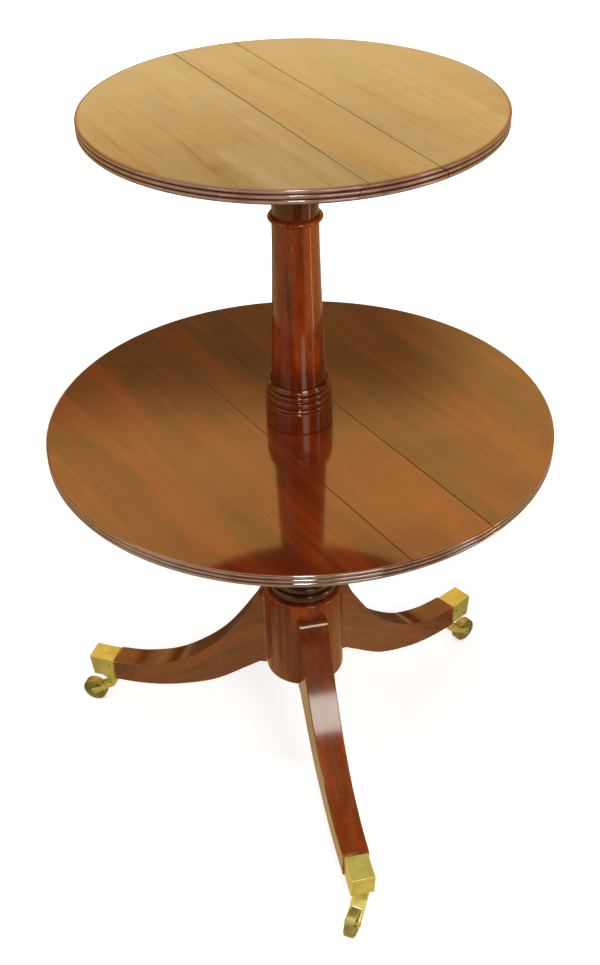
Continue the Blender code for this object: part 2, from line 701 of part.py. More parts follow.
def block_profile():
    """The round block, from the floor of its tenon bore up and over to its foot."""
    bore = TENON_RADIUS + FIT
    floor = BLOCK_TOP - TENON_LENGTH - FIT
    centre = (BLOCK_RADIUS - BLOCK_ARRIS, BLOCK_TOP - BLOCK_ARRIS)
    profile = [(0, floor), (bore, floor), (bore, BLOCK_TOP)]
    profile += arc(centre, BLOCK_ARRIS, 90, 0, ARRIS_STEPS)
    profile += [(BLOCK_RADIUS, BLOCK_BOTTOM + BLOCK_FOOT_ARRIS),
                (BLOCK_RADIUS - BLOCK_FOOT_ARRIS, BLOCK_BOTTOM), (0, BLOCK_BOTTOM)]
    return profile


def key_outline(gap):
    """Plan of a leg's dovetail key, or of its slot when a gap is added."""
    tail = BLOCK_RADIUS - KEY_DEPTH - gap
    reach = BLOCK_RADIUS + KEY_REACH_INTO_LEG
    neck = KEY_NECK_WIDTH / 2 + gap
    wide = KEY_TAIL_WIDTH / 2 + gap
    return [(tail, -wide), (BLOCK_RADIUS, -neck), (reach, -neck), (reach, neck), (BLOCK_RADIUS, neck),
            (tail, wide)]


def build_block(frame):
    """The pedestal block with a slot for each leg's key."""
    block = add_part("pedestal_block", turned_mesh("block", block_profile(), BLOCK_STEPS), MAHOGANY,
                     frame)
    low = BLOCK_BOTTOM - OVERRUN
    high = KEY_TOP + FIT
    for word, azimuth in LEG_AZIMUTHS_DEG.items():
        slot = outline_mesh(f"slot {word}", key_outline(FIT), high - low)
        slot.transform(Matrix.Translation((0, 0, (low + high) / 2)))
        add_boolean(block, add_cutter(f"slot_{word}", slot, frame, turn_deg=azimuth), "DIFFERENCE")
    return block


def leg_outline():
    """Side view of a leg, from the block's middle line out to the cap's inner end."""
    reach = CAP_INNER_REACH - FIT - BLOCK_RADIUS
    top = [(BLOCK_RADIUS + reach * out, CAP_TOP + (LEG_ROOT_TOP - CAP_TOP) * rise)
           for out, rise in LEG_TOP_SHARES]
    bottom = [(BLOCK_RADIUS + reach * out, CAP_BOTTOM + (LEG_ROOT_BOTTOM - CAP_BOTTOM) * rise)
              for out, rise in LEG_BOTTOM_SHARES]
    root = BLOCK_RADIUS - KEY_DEPTH / 2
    upper = [(root, LEG_ROOT_TOP), *smooth_through(top, LEG_SPAN_STEPS)]
    lower = [(root, LEG_ROOT_BOTTOM), *smooth_through(bottom, LEG_SPAN_STEPS)]
    return lower + upper[::-1]


def leg_mesh():
    """A leg with its dovetail key and its toe, its outward line along +X."""
    mesh = outline_mesh("leg side", leg_outline(), LEG_ROOT_WIDTH, True)
    for vertex in mesh.vertices:
        out = (vertex.co.x - BLOCK_RADIUS) / (CAP_INNER_REACH - BLOCK_RADIUS)
        width = LEG_ROOT_WIDTH + (LEG_TOE_WIDTH - LEG_ROOT_WIDTH) * max(out, 0)
        vertex.co.y *= width / LEG_ROOT_WIDTH
    leg = add_cutter("leg_body", mesh)
    add_bevel(leg, LEG_ARRIS)
    cope = cylinder_mesh("cope", BLOCK_RADIUS + FIT, BLOCK_BOTTOM - BLOCK_RADIUS,
                         BLOCK_TOP + OVERRUN, BLOCK_STEPS)
    key = outline_mesh("key", key_outline(0), KEY_TOP - KEY_BOTTOM)
    key.transform(Matrix.Translation((0, 0, (KEY_TOP + KEY_BOTTOM) / 2)))
    toe_end = CAP_OUTER_REACH - CAP_LEAN - CAP_WALL - FIT
    toe = box_mesh("toe", (CAP_INNER_REACH - CAP_WALL, -TOE_WIDTH / 2, TOE_BOTTOM),
                   (toe_end, TOE_WIDTH / 2, TOE_TOP))
    tools = [(add_cutter("leg_cope", cope), "DIFFERENCE"), (add_cutter("leg_key", key), "UNION"),
             (add_cutter("leg_toe", toe), "UNION")]
    for tool, operation in tools:
        add_boolean(leg, tool, operation)
    result = finished_mesh(leg, "leg")
    for tool, _ in tools:
        bpy.data.objects.remove(tool, do_unlink=True)
    smooth_round(result)
    return result


def tie_plate_mesh():
    """The three-lobed iron plate that ties the legs' keys to the block."""
    points = []
    for i in range(TIE_PLATE_POINTS):
        angle = 2 * math.pi * i / TIE_PLATE_POINTS
        lobe = math.cos(3 * (angle - math.radians(LEG_AZIMUTHS_DEG["right"])))
        radius = TIE_PLATE_RADIUS + TIE_PLATE_LOBE * lobe
        points.append((radius * math.cos(angle), radius * math.sin(angle)))
    mesh = outline_mesh("tie plate", points, TIE_PLATE_THICKNESS)
    mesh.transform(Matrix.Translation((0, 0, BLOCK_BOTTOM - FIT - TIE_PLATE_THICKNESS / 2)))
    return mesh


# Toe cap and caster

def cap_mesh():
    """A brass box shell, open towards the leg, with a leaning end and a hole for the pintle."""
    outline = [(CAP_INNER_REACH, CAP_BOTTOM), (CAP_OUTER_REACH - CAP_LEAN, CAP_BOTTOM),
               (CAP_OUTER_REACH, CAP_TOP), (CAP_INNER_REACH, CAP_TOP)]
    cap = add_cutter("cap_body", outline_mesh("cap side", outline, CAP_WIDTH, True))
    add_bevel(cap, CAP_EDGE)
    inside = [(CAP_INNER_REACH - OVERRUN, CAP_BOTTOM + CAP_WALL),
              (CAP_OUTER_REACH - CAP_LEAN - CAP_WALL, CAP_BOTTOM + CAP_WALL),
              (CAP_OUTER_REACH - CAP_LEAN - CAP_WALL, CAP_TOP - CAP_WALL),
              (CAP_INNER_REACH - OVERRUN, CAP_TOP - CAP_WALL)]
    hollow = outline_mesh("cap inside", inside, CAP_WIDTH - 2 * CAP_WALL, True)
    hole = cylinder_mesh("cap hole", PINTLE_RADIUS + FIT, CAP_BOTTOM - OVERRUN,
                         CAP_BOTTOM + CAP_WALL + OVERRUN, LOOP_STEPS, centre=(PINTLE_REACH, 0))
    tools = [add_cutter("cap_hollow", hollow), add_cutter("cap_hole", hole)]
    for tool in tools:
        add_boolean(cap, tool, "DIFFERENCE")
    mesh = finished_mesh(cap, "toe cap")
    for tool in tools:
        bpy.data.objects.remove(tool, do_unlink=True)
    smooth_round(mesh)
    return mesh


def pintle_mesh():
    """The rivet that the horn turns on, about its own axis."""
    head_low = CAP_BOTTOM + CAP_WALL + FIT
    foot_high = HORN_BOSS_BOTTOM - FIT
    profile = [(0, head_low + PINTLE_HEAD_HEIGHT), (PINTLE_HEAD_RADIUS, head_low + PINTLE_HEAD_HEIGHT),
               (PINTLE_HEAD_RADIUS, head_low), (PINTLE_RADIUS, head_low), (PINTLE_RADIUS, foot_high),
               (PINTLE_HEAD_RADIUS, foot_high),
               (PINTLE_HEAD_RADIUS - PINTLE_HEAD_HEIGHT / 2, foot_high - PINTLE_HEAD_HEIGHT),
               (0, foot_high - PINTLE_HEAD_HEIGHT)]
    return turned_mesh("pintle", profile, LOOP_STEPS)


def horn_outline():
    """Side view of the horn's curved strap, trailing along +X, by its centre line and depth."""
    rise = HORN_BOSS_BOTTOM + HORN_BOSS_HEIGHT / 2 - WHEEL_RADIUS
    line = [(TRAIL * out, WHEEL_RADIUS + rise * up, HORN_EYE_RADIUS * depth)
            for out, up, depth in HORN_LINE_SHARES]
    line = smooth_through(line, HORN_SPAN_STEPS)
    outer, inner = [], []
    for i, (x, z, depth) in enumerate(line):
        ahead = line[min(i + 1, len(line) - 1)]
        behind = line[max(i - 1, 0)]
        direction = Vector((ahead[0] - behind[0], ahead[1] - behind[1])).normalized()
        outer.append((x + direction.y * depth, z - direction.x * depth))
        inner.append((x - direction.y * depth, z + direction.x * depth))
    return outer + inner[::-1]


def horn_mesh():
    """The caster's forked horn: boss, curved strap, two arms and their eyes."""
    half = HORN_WIDTH / 2
    horn = add_cutter("horn_strap", outline_mesh("horn side", horn_outline(), HORN_WIDTH, True))
    boss = cylinder_mesh("horn boss", HORN_BOSS_RADIUS, HORN_BOSS_BOTTOM, HORN_TOP, WHEEL_STEPS)
    eye = cylinder_mesh("horn eye", HORN_EYE_RADIUS, -half, half, COLUMN_STEPS // 2, "Y",
                        (TRAIL, WHEEL_RADIUS))
    slot = cylinder_mesh("horn slot", HORN_SLOT_RADIUS, -HORN_SLOT / 2, HORN_SLOT / 2, WHEEL_STEPS,
                         "Y", (TRAIL, WHEEL_RADIUS))
    swivel = cylinder_mesh("horn swivel bore", PINTLE_RADIUS + FIT, HORN_BOSS_BOTTOM - OVERRUN,
                           HORN_TOP + OVERRUN, LOOP_STEPS)
    axle = cylinder_mesh("horn axle bore", AXLE_RADIUS + FIT, -half - OVERRUN, half + OVERRUN,
                         LOOP_STEPS, "Y", (TRAIL, WHEEL_RADIUS))
    tools = [(add_cutter("horn_boss", boss), "UNION"), (add_cutter("horn_eye", eye), "UNION"),
             (add_cutter("horn_slot", slot), "DIFFERENCE"),
             (add_cutter("horn_swivel", swivel), "DIFFERENCE"),
             (add_cutter("horn_axle", axle), "DIFFERENCE")]
    for tool, operation in tools:
        add_boolean(horn, tool, operation)
    mesh = finished_mesh(horn, "caster horn")
    for tool, _ in tools:
        bpy.data.objects.remove(tool, do_unlink=True)
    smooth_round(mesh)
    return mesh


def wheel_mesh():
    """A dished brass wheel with a raised rim and boss, its axle along Y."""
    half = WHEEL_WIDTH / 2
    bore = AXLE_RADIUS + FIT
    rim = WHEEL_RADIUS - WHEEL_RIM
    web = half - WHEEL_DISH
    face = [(bore, half), (WHEEL_BOSS_RADIUS, half), (WHEEL_BOSS_RADIUS, web), (rim, web),
            (rim, half), (WHEEL_RADIUS - WHEEL_EDGE, half), (WHEEL_RADIUS, half - WHEEL_EDGE)]
    profile = face + [(radius, -height) for radius, height in reversed(face)]
    mesh = turned_mesh("wheel", profile, WHEEL_STEPS, False)
    mesh.transform(Matrix.Rotation(math.radians(90), 4, "X"))
    return mesh


def axle_mesh():
    """The wheel's pin with a rivet head at either end, along Y."""
    half = HORN_WIDTH / 2 + FIT
    low_head = AXLE_HEAD_RADIUS - AXLE_HEAD_HEIGHT / 2
    face = [(0, half + AXLE_HEAD_HEIGHT), (low_head, half + AXLE_HEAD_HEIGHT),
            (AXLE_HEAD_RADIUS, half), (AXLE_RADIUS, half)]
    profile = face + [(radius, -height) for radius, height in reversed(face)]
    mesh = turned_mesh("axle", profile, LOOP_STEPS)
    mesh.transform(Matrix.Rotation(math.radians(90), 4, "X"))
    return mesh


def build_feet(frame):
    """Three legs with their caps, pintles, horns, axles and wheels."""
    leg, cap, pintle = leg_mesh(), cap_mesh(), pintle_mesh()
    horn, axle, wheel = horn_mesh(), axle_mesh(), wheel_mesh()
    for word, azimuth in LEG_AZIMUTHS_DEG.items():
        line = make_empty(f"line of leg {word}", frame, turn_deg=azimuth)
        add_part(f"leg_{word}", leg, MAHOGANY, line)
        add_part(f"toe_cap_{word}", cap, BRIGHT_BRASS, line)
        add_part(f"caster_pintle_{word}", pintle, OLD_IRON, line, (PINTLE_REACH, 0, 0))
        swivel = make_empty(f"swivel {word}", line, (PINTLE_REACH, 0, 0), CASTER_SWINGS_DEG[word])
        add_part(f"caster_horn_{word}", horn, BRIGHT_BRASS, swivel)
        hub = make_empty(f"wheel centre {word}", swivel, (TRAIL, 0, WHEEL_RADIUS))
        add_part(f"caster_axle_{word}", axle, OLD_IRON, hub)
        add_part(f"caster_wheel_{word}", wheel, DULL_BRASS, hub)


def build_all():
    """The whole table."""
    axis = make_empty("column axis", None, (0, AXIS_Y, 0))
    build_block(axis)
    add_part("tie_plate", tie_plate_mesh(), OLD_IRON, axis)
    build_feet(axis)
    add_part("lower_column", turned_mesh("lower column", lower_column_profile(), COLUMN_STEPS),
             MAHOGANY, axis)
    add_part("upper_column", turned_mesh("upper column", upper_column_profile(), COLUMN_STEPS),
             MAHOGANY, axis)

    lower = make_empty("lower tier axis", axis, turn_deg=LOWER_SEAM_AZIMUTH_DEG - 90)
    upper = make_empty("upper tier axis", axis, turn_deg=UPPER_SEAM_AZIMUTH_DEG - 90)
    build_bearer("lower_bearer", lower, LOWER_BEARER_LENGTH, LOWER_BEARER_WIDTH,
                 LOWER_BEARER_THICKNESS, LOWER_BEARER_TOP, LOWER_BORE_RADIUS)
    build_bearer("upper_bearer", upper, UPPER_BEARER_LENGTH, UPPER_BEARER_WIDTH,
                 UPPER_BEARER_THICKNESS, UPPER_BEARER_TOP, UPPER_BORE_RADIUS)
    build_tier("lower", lower, LOWER_SEAM, LOWER_TIER_RADIUS, LOWER_TIER_TOP, LOWER_HINGE_SPREAD,
               LOWER_BORE_RADIUS, LOWER_TIER_TOP + OVERRUN, LOWER_PLATE_RADIUS, LOWER_PEG_RADIUS,
               LOWER_BEARER_WIDTH)
    build_tier("upper", upper, UPPER_SEAM, UPPER_TIER_RADIUS, UPPER_TIER_TOP, UPPER_HINGE_SPREAD,
               UPPER_BORE_RADIUS, UPPER_TIER_TOP - BOARD_THICKNESS + UPPER_SPIGOT_RISE + FIT,
               UPPER_PLATE_RADIUS, UPPER_PEG_RADIUS, UPPER_BEARER_WIDTH)
    hinges = hinge_meshes()
    build_hinges("lower", lower, LOWER_SEAM, LOWER_TIER_TOP, LOWER_HINGE_SPREAD, hinges)
    build_hinges("upper", upper, UPPER_SEAM, UPPER_TIER_TOP, UPPER_HINGE_SPREAD, hinges)


# Finishes: colour, roughness and metallic value
MAHOGANY_TOP = ((0.30, 0.12, 0.045), 0.28, 0.0)
MAHOGANY = ((0.17, 0.045, 0.018), 0.30, 0.0)
MAHOGANY_DARK = ((0.09, 0.030, 0.014), 0.55, 0.0)
BRIGHT_BRASS = ((0.70, 0.55, 0.16), 0.28, 1.0)
DULL_BRASS = ((0.36, 0.29, 0.12), 0.42, 1.0)
OLD_IRON = ((0.10, 0.095, 0.09), 0.55, 1.0)

clear_scene()
PARTS = make_collection("dumbwaiter table")
CUTTERS = make_collection("cutters")
build_all()
bpy.context.view_layer.update()
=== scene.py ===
"""Fine surfaces, finishes and studio for a two-tier drop-leaf dumbwaiter table.

Each sub-assembly is a class that holds its sizes in metres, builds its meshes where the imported
solids lie, and dresses them in polished mahogany, brass or iron. A fine piece stands for the
plainer solid of its own node; flat plates, bars and hinge flaps keep theirs, newly finished.
"""

import logging
import math
from collections.abc import Iterable, Sequence
from dataclasses import dataclass
from enum import Enum

import bmesh
import bpy
from mathutils import Euler, Matrix, Vector


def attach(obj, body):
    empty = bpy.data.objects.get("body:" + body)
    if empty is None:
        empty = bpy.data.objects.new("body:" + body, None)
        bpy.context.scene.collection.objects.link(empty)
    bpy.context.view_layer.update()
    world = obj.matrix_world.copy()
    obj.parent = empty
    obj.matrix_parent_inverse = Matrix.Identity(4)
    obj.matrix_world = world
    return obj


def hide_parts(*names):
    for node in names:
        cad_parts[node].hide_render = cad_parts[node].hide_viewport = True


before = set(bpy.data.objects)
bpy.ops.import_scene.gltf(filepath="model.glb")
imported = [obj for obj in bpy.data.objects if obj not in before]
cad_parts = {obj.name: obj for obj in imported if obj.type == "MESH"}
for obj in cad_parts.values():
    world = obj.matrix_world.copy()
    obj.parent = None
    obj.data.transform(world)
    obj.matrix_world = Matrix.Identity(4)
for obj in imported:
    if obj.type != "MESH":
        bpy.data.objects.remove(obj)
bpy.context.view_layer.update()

LOG = logging.getLogger("dumbwaiter")

Point = tuple[float, float]
Triple = tuple[float, float, float]

FIT = 0.0003
RUNNING_GAP = 0.0004
OVERRUN = 0.003
MERGE = 0.000001
SHARP_ANGLE_DEG = 32.0
BROAD_FACE = 0.00012
LEVEL = 0.999
BOARD_THICKNESS = 0.015
SUPPORT = 1.8
ARRIS_ANGLE_DEG = 40.0
DOWN = Vector((0, 0, -1))
UPRIGHT_GRAIN = (0.0, -90.0, 0.0)
ALONG_Y = Matrix.Rotation(math.pi / 2, 4, "X")
SEAM_AZIMUTHS_DEG = {"lower": 110.5, "upper": 105.9}
CASTER_SWINGS_DEG = (-35.0, -2.5, 0.0)


class Slot(Enum):
    """The record's material slots, named with each new piece."""

    TOP = "mahogany_top"
    RED = "mahogany"
    BRIGHT = "bright_brass"
    DULL = "dull_brass"
    IRON = "old_iron"


class Side(Enum):
    """Which way a leaf lies from its centre board, seen from the front."""

    RIGHT = 1
    LEFT = -1

    @property
    def word(self) -> str:
        """The side's name in node and body names."""
        return self.name.lower()


# Node trees


def pick(sockets: Iterable[bpy.types.NodeSocket], key: int | str) -> bpy.types.NodeSocket:
    """Find a socket that is in use.

    Args:
        sockets: A node's inputs or outputs.
        key: The socket's name, or its place among the sockets in use.

    Returns:
        The socket.
    """
    used = [socket for socket in sockets if socket.enabled]
    if isinstance(key, int):
        return used[key]
    return next(socket for socket in used if key in (socket.name, socket.identifier))


class Wire:
    """A node's output, on which Python's operators add Math nodes."""

    def __init__(self, graph: "Graph", node: bpy.types.Node, key: int | str = 0) -> None:
        """Hold one output of a node, if the node has any."""
        self.graph = graph
        self.node = node
        self.socket = pick(node.outputs, key) if len(node.outputs) else None

    def also(self, key: int | str) -> "Wire":
        """Another output of the same node."""
        return Wire(self.graph, self.node, key)

    def math(self, operation: str, *values: "Wire | float") -> "Wire":
        """A Math node on the given values."""
        return self.graph.node("ShaderNodeMath", {"operation": operation}, dict(enumerate(values)))

    def __add__(self, other: "Wire | float") -> "Wire":
        """Sum."""
        return self.math("ADD", self, other)

    __radd__ = __add__

    def __mul__(self, other: "Wire | float") -> "Wire":
        """Product."""
        return self.math("MULTIPLY", self, other)

    __rmul__ = __mul__

    def __sub__(self, other: "Wire | float") -> "Wire":
        """Difference."""
        return self.math("SUBTRACT", self, other)

    def __rsub__(self, other: "Wire | float") -> "Wire":
        """Difference with the wire taken away."""
        return self.math("SUBTRACT", other, self)

    def __pow__(self, other: "Wire | float") -> "Wire":
        """Power."""
        return self.math("POWER", self, other)

    def __abs__(self) -> "Wire":
        """Absolute value."""
        return self.math("ABSOLUTE", self)


class Graph:
    """Builds one shader or geometry tree."""

    def __init__(self, tree: bpy.types.NodeTree) -> None:
        """Hold the tree."""
        self.tree = tree

    def node(self, kind: str, settings: dict | None = None, sockets: dict | None = None) -> Wire:
        """Add a node.

        Args:
            kind: The node's type.
            settings: Its properties, or a ramp's stops, set first.
            sockets: Values or wires for its inputs, by name or place.

        Returns:
            The node's first output in use.
        """
        node = self.tree.nodes.new(kind)
        for key, value in (settings or {}).items():
            setattr(node, key, value)
        for key, value in (sockets or {}).items():
            socket = pick(node.inputs, key)
            if isinstance(value, Wire):
                self.tree.links.new(value.socket, socket)
            elif socket.type == "RGBA":
                socket.default_value = (*value[:3], 1.0)
            else:
                socket.default_value = value
        return Wire(self, node)

    def vector(self, operation: str, first: Wire | Triple, second: Wire | Triple) -> Wire:
        """A Vector Math node."""
        return self.node("ShaderNodeVectorMath", {"operation": operation}, {0: first, 1: second})

    def mix(self, factor: Wire | float, first: Wire | Triple, second: Wire | Triple) -> Wire:
        """A Mix node on colours."""
        return self.node("ShaderNodeMix", {"data_type": "RGBA"},
                         {"Factor": factor, "A": first, "B": second})

    def apart(self, vector: Wire) -> Wire:
        """A vector's X, with its Y and Z as further outputs."""
        return self.node("ShaderNodeSeparateXYZ", {}, {0: vector})

    def join(self, parts: dict) -> Wire:
        """A vector from parts named X, Y and Z."""
        return self.node("ShaderNodeCombineXYZ", {}, parts)

    def feed(self, shader: bpy.types.Node, wires: dict[str, Wire]) -> None:
        """Link wires to a node's inputs by name."""
        for key, wire in wires.items():
            self.tree.links.new(wire.socket, shader.inputs[key])

    def rise(self, value: Wire, low: float, high: float, to_low: float = 0.0,
             to_high: float = 1.0) -> Wire:
        """A smooth step from low to high, between two results."""
        return self.node("ShaderNodeMapRange", {"interpolation_type": "SMOOTHSTEP"},
                         {"Value": value, "From Min": low, "From Max": high,
                          "To Min": to_low, "To Max": to_high})

    def noise(self, place: Wire, scale: Triple, detail: float = 2.0, shift: float = 0.0,
              key: int | str = 0) -> Wire:
        """Noise on a place that is stretched along its axes and shifted."""
        moved = self.node("ShaderNodeMapping", {}, {"Vector": place, "Location": (shift, shift, shift),
                                                    "Scale": scale})
        wire = self.node("ShaderNodeTexNoise", {}, {"Vector": moved, "Scale": 1.0, "Detail": detail})
        return wire.also(key)


# Finishes


def new_material(name: str) -> tuple[bpy.types.Material, Graph, bpy.types.Node]:
    """An empty material.

    Args:
        name: Its name.

    Returns:
        The material, its graph and its Principled shader.
    """
    material = bpy.data.materials.new(name)
    material.use_nodes = True
    return material, Graph(material.node_tree), material.node_tree.nodes["Principled BSDF"]


def darker(colour: Triple, share: float) -> Triple:
    """A colour brought down to a share of itself."""
    return tuple(c * share for c in colour)


@dataclass(frozen=True)
class Palette:
    """The colours of a timber's figure under its polish."""

    deep: Triple
    mid: Triple
    pale: Triple
    glow: Triple
    ash: Triple
    worn: Triple
    glow_share: float = 0.60
    ash_share: float = 0.50
    fleck_share: float = 0.0


RED = Palette((0.066, 0.007, 0.002), (0.205, 0.024, 0.004), (0.325, 0.052, 0.007),
              (0.400, 0.072, 0.005), (0.128, 0.034, 0.008), (0.520, 0.250, 0.085), fleck_share=0.26)
LEG = Palette((0.115, 0.020, 0.005), (0.175, 0.031, 0.006), (0.235, 0.049, 0.010),
              (0.280, 0.052, 0.007), (0.135, 0.050, 0.014), (0.700, 0.400, 0.160), fleck_share=0.12)
# Painted shade: a much darker copy of the red palette, for the lower column in shade under the lower tier.
SHADED_RED = Palette((0.018, 0.004, 0.002), (0.046, 0.009, 0.004), (0.080, 0.018, 0.007),
                (0.090, 0.018, 0.005), (0.045, 0.017, 0.008), (0.240, 0.100, 0.045))
FADED = Palette((0.145, 0.082, 0.030), (0.255, 0.182, 0.076), (0.338, 0.268, 0.132),
                (0.340, 0.178, 0.052), (0.195, 0.168, 0.088), (0.420, 0.170, 0.045))
AMBER = Palette((0.018, 0.002, 0.001), (0.076, 0.007, 0.001), (0.150, 0.024, 0.003),
                (0.200, 0.021, 0.002), (0.052, 0.009, 0.002), (0.240, 0.080, 0.022),
                glow_share=0.75)
# EDGE's pale worn colour lights the reeds' crests: partly wear, partly a painted highlight.
EDGE = Palette((0.050, 0.010, 0.005), (0.084, 0.017, 0.006), (0.115, 0.026, 0.009),
               (0.140, 0.026, 0.006), (0.078, 0.029, 0.012), (0.460, 0.330, 0.260))
BARE = Palette((0.045, 0.014, 0.006), (0.090, 0.030, 0.012), (0.130, 0.050, 0.022),
               (0.120, 0.036, 0.012), (0.075, 0.040, 0.022), (0.170, 0.085, 0.045))
BARE_BELOW = -0.0148


@dataclass(frozen=True)
class Grain:
    """The wires of one piece's grain."""

    place: Wire
    local: Wire
    tone: Wire
    glow: Wire
    ash: Wire
    pits: Wire
    fibres: Wire
    flecks: Wire


@dataclass(frozen=True)
class Wood:
    """A mahogany finish: the colours of its figure and its polish."""

    name: str
    palette: Palette
    roughness: float = 0.32
    polish: float = 0.7
    shine: float = 0.2
    figure: float = 24.0
    polish_roughness: float = 0.07
    polish_ior: float = 1.5

    def lay(self, g: Graph, centre: Triple, turn_deg: Triple, shift: float) -> Grain:
        """Lay the figure out along a piece.

        Args:
            g: The material's graph.
            centre: A point on the piece, from which the figure is laid out.
            turn_deg: How the grain's own X axis is turned to lie along the piece.
            shift: Where the piece lay in its plank, so that no two are alike.

        Returns:
            The grain's wires.
        """
        place = g.node("ShaderNodeTexCoord").also("Object")
        turn = Euler([math.radians(a) for a in turn_deg])
        local = g.node("ShaderNodeMapping", {"vector_type": "TEXTURE"},
                       {"Vector": place, "Location": centre, "Rotation": turn})
        drift = g.noise(local, (1.6, 7.0, 7.0), 2.0, shift + 4.0, "Color")
        bend = g.vector("MULTIPLY", g.vector("SUBTRACT", drift, (0.5, 0.5, 0.5)), (0.0, 0.05, 0.05))
        grain = g.vector("ADD", local, bend)
        f = self.figure
        bands = g.noise(grain, (f * 0.10, f, f), 2.0, shift)
        streaks = g.noise(grain, (f * 0.22, f * 4.5, f * 4.5), 3.0, shift + 9.0)
        fibres = g.noise(grain, (f * 0.9, f * 26.0, f * 26.0), 2.0, shift + 2.0)
        mottle = g.noise(grain, (f * 1.5, f * 0.5, f * 0.5), 2.0, shift + 6.0)
        glow = g.noise(grain, (f * 0.16, f * 1.3, f * 1.3), 3.0, shift + 13.0)
        ash = g.noise(grain, (f * 0.14, f * 1.7, f * 1.7), 3.0, shift + 17.0)
        pits = g.noise(grain, (f * 3.0, f * 75.0, f * 75.0), 1.0, shift + 21.0)
        flecks = g.noise(grain, (f * 4.0, f * 42.0, f * 42.0), 1.0, shift + 27.0)
        return Grain(place, local, bands * 0.38 + streaks * 0.34 + fibres * 0.18 + mottle * 0.10,
                     g.rise(glow, 0.50, 0.66), g.rise(ash, 0.52, 0.68), g.rise(pits, 0.60, 0.70), fibres,
                     g.rise(flecks, 0.61, 0.70))

    def tint(self, g: Graph, grain: Grain, palette: Palette, pores: float = 0.42) -> Wire:
        """Colour the figure.

        Args:
            g: The material's graph.
            grain: The grain's wires.
            palette: The figure's colours.
            pores: Strength of the open grain.

        Returns:
            The colour.
        """
        colour = g.mix(g.rise(grain.tone, 0.38, 0.49), palette.deep, palette.mid)
        colour = g.mix(g.rise(grain.tone, 0.50, 0.62), colour, palette.pale)
        colour = g.mix(grain.glow * palette.glow_share, colour, palette.glow)
        colour = g.mix(grain.ash * palette.ash_share, colour, palette.ash)
        colour = g.mix(grain.flecks * palette.fleck_share, colour, palette.worn)
        return g.mix(grain.pits * pores, colour, palette.deep)

    def polished(self, g: Graph, grain: Grain, colour: Wire, dull: Wire | float = 0.0,
                 bare: Wire | float = 0.0) -> None:
        """Join the colour, the polish and the open grain to the shader.

        Args:
            g: The material's graph.
            grain: The grain's wires.
            colour: The colour.
            dull: Where wear takes the gloss off.
            bare: Where there is no polish.
        """
        shader = g.tree.nodes["Principled BSDF"]
        smears = g.noise(grain.place, (9.0, 9.0, 9.0), 3.0, 30.0)
        gloss = smears * 0.10 + grain.pits * 0.10 + dull * 0.12 + bare * 0.25 + (self.roughness - 0.05)
        coat = g.rise(smears, 0.25, 0.75, self.polish, self.polish * 0.82) * (1 - bare)
        relief = g.node("ShaderNodeBump", {}, {"Strength": 0.05, "Distance": 0.0002,
                                               "Height": grain.fibres * 0.6 - grain.pits})
        g.feed(shader, {"Base Color": colour, "Roughness": gloss, "Coat Weight": coat, "Normal": relief})
        shader.inputs["Coat Roughness"].default_value = self.polish_roughness
        shader.inputs["Coat IOR"].default_value = self.polish_ior
        shader.inputs["Specular IOR Level"].default_value = self.shine

    def material(self, label: str, centre: Triple, turn_deg: Triple, shift: float = 0.0,
                 painted_shade_bands: Sequence[Triple] = ()) -> bpy.types.Material:
        """Make the finish for a turned or shaped piece, worn on its crests.

        Args:
            label: The piece's name.
            centre: A point on the piece, from which the figure is laid out.
            turn_deg: How the grain's own X axis is turned to lie along the piece.
            shift: Where the piece lay in its plank.
            painted_shade_bands: Painted shade along its length: none here, full there, how much.

        Returns:
            The material.
        """
        material, g, _ = new_material(f"{self.name} {label}")
        grain = self.lay(g, centre, turn_deg, shift)
        colour = self.tint(g, grain, self.palette)
        along = g.apart(grain.local).also("X")
        # Painted shade: darker bands along the piece, where shade falls under a tier.
        for none, full, share in painted_shade_bands:
            colour = g.mix(g.rise(along, none, full) * share, colour, darker(self.palette.deep, 0.5))
        crest = g.node("ShaderNodeNewGeometry").also("Pointiness")
        worn = g.rise(crest, 0.515, 0.60) * g.rise(g.noise(grain.place, (60.0, 60.0, 60.0)), 0.35, 0.62)
        colour = g.mix(worn * 0.7, colour, self.palette.worn)
        # Darker in the hollows and quirks, where pointiness is low: grime and painted shade.
        colour = g.mix(g.rise(crest, 0.485, 0.42) * 0.75, colour, darker(self.palette.deep, 0.35))
        self.polished(g, grain, colour, worn)
        return material


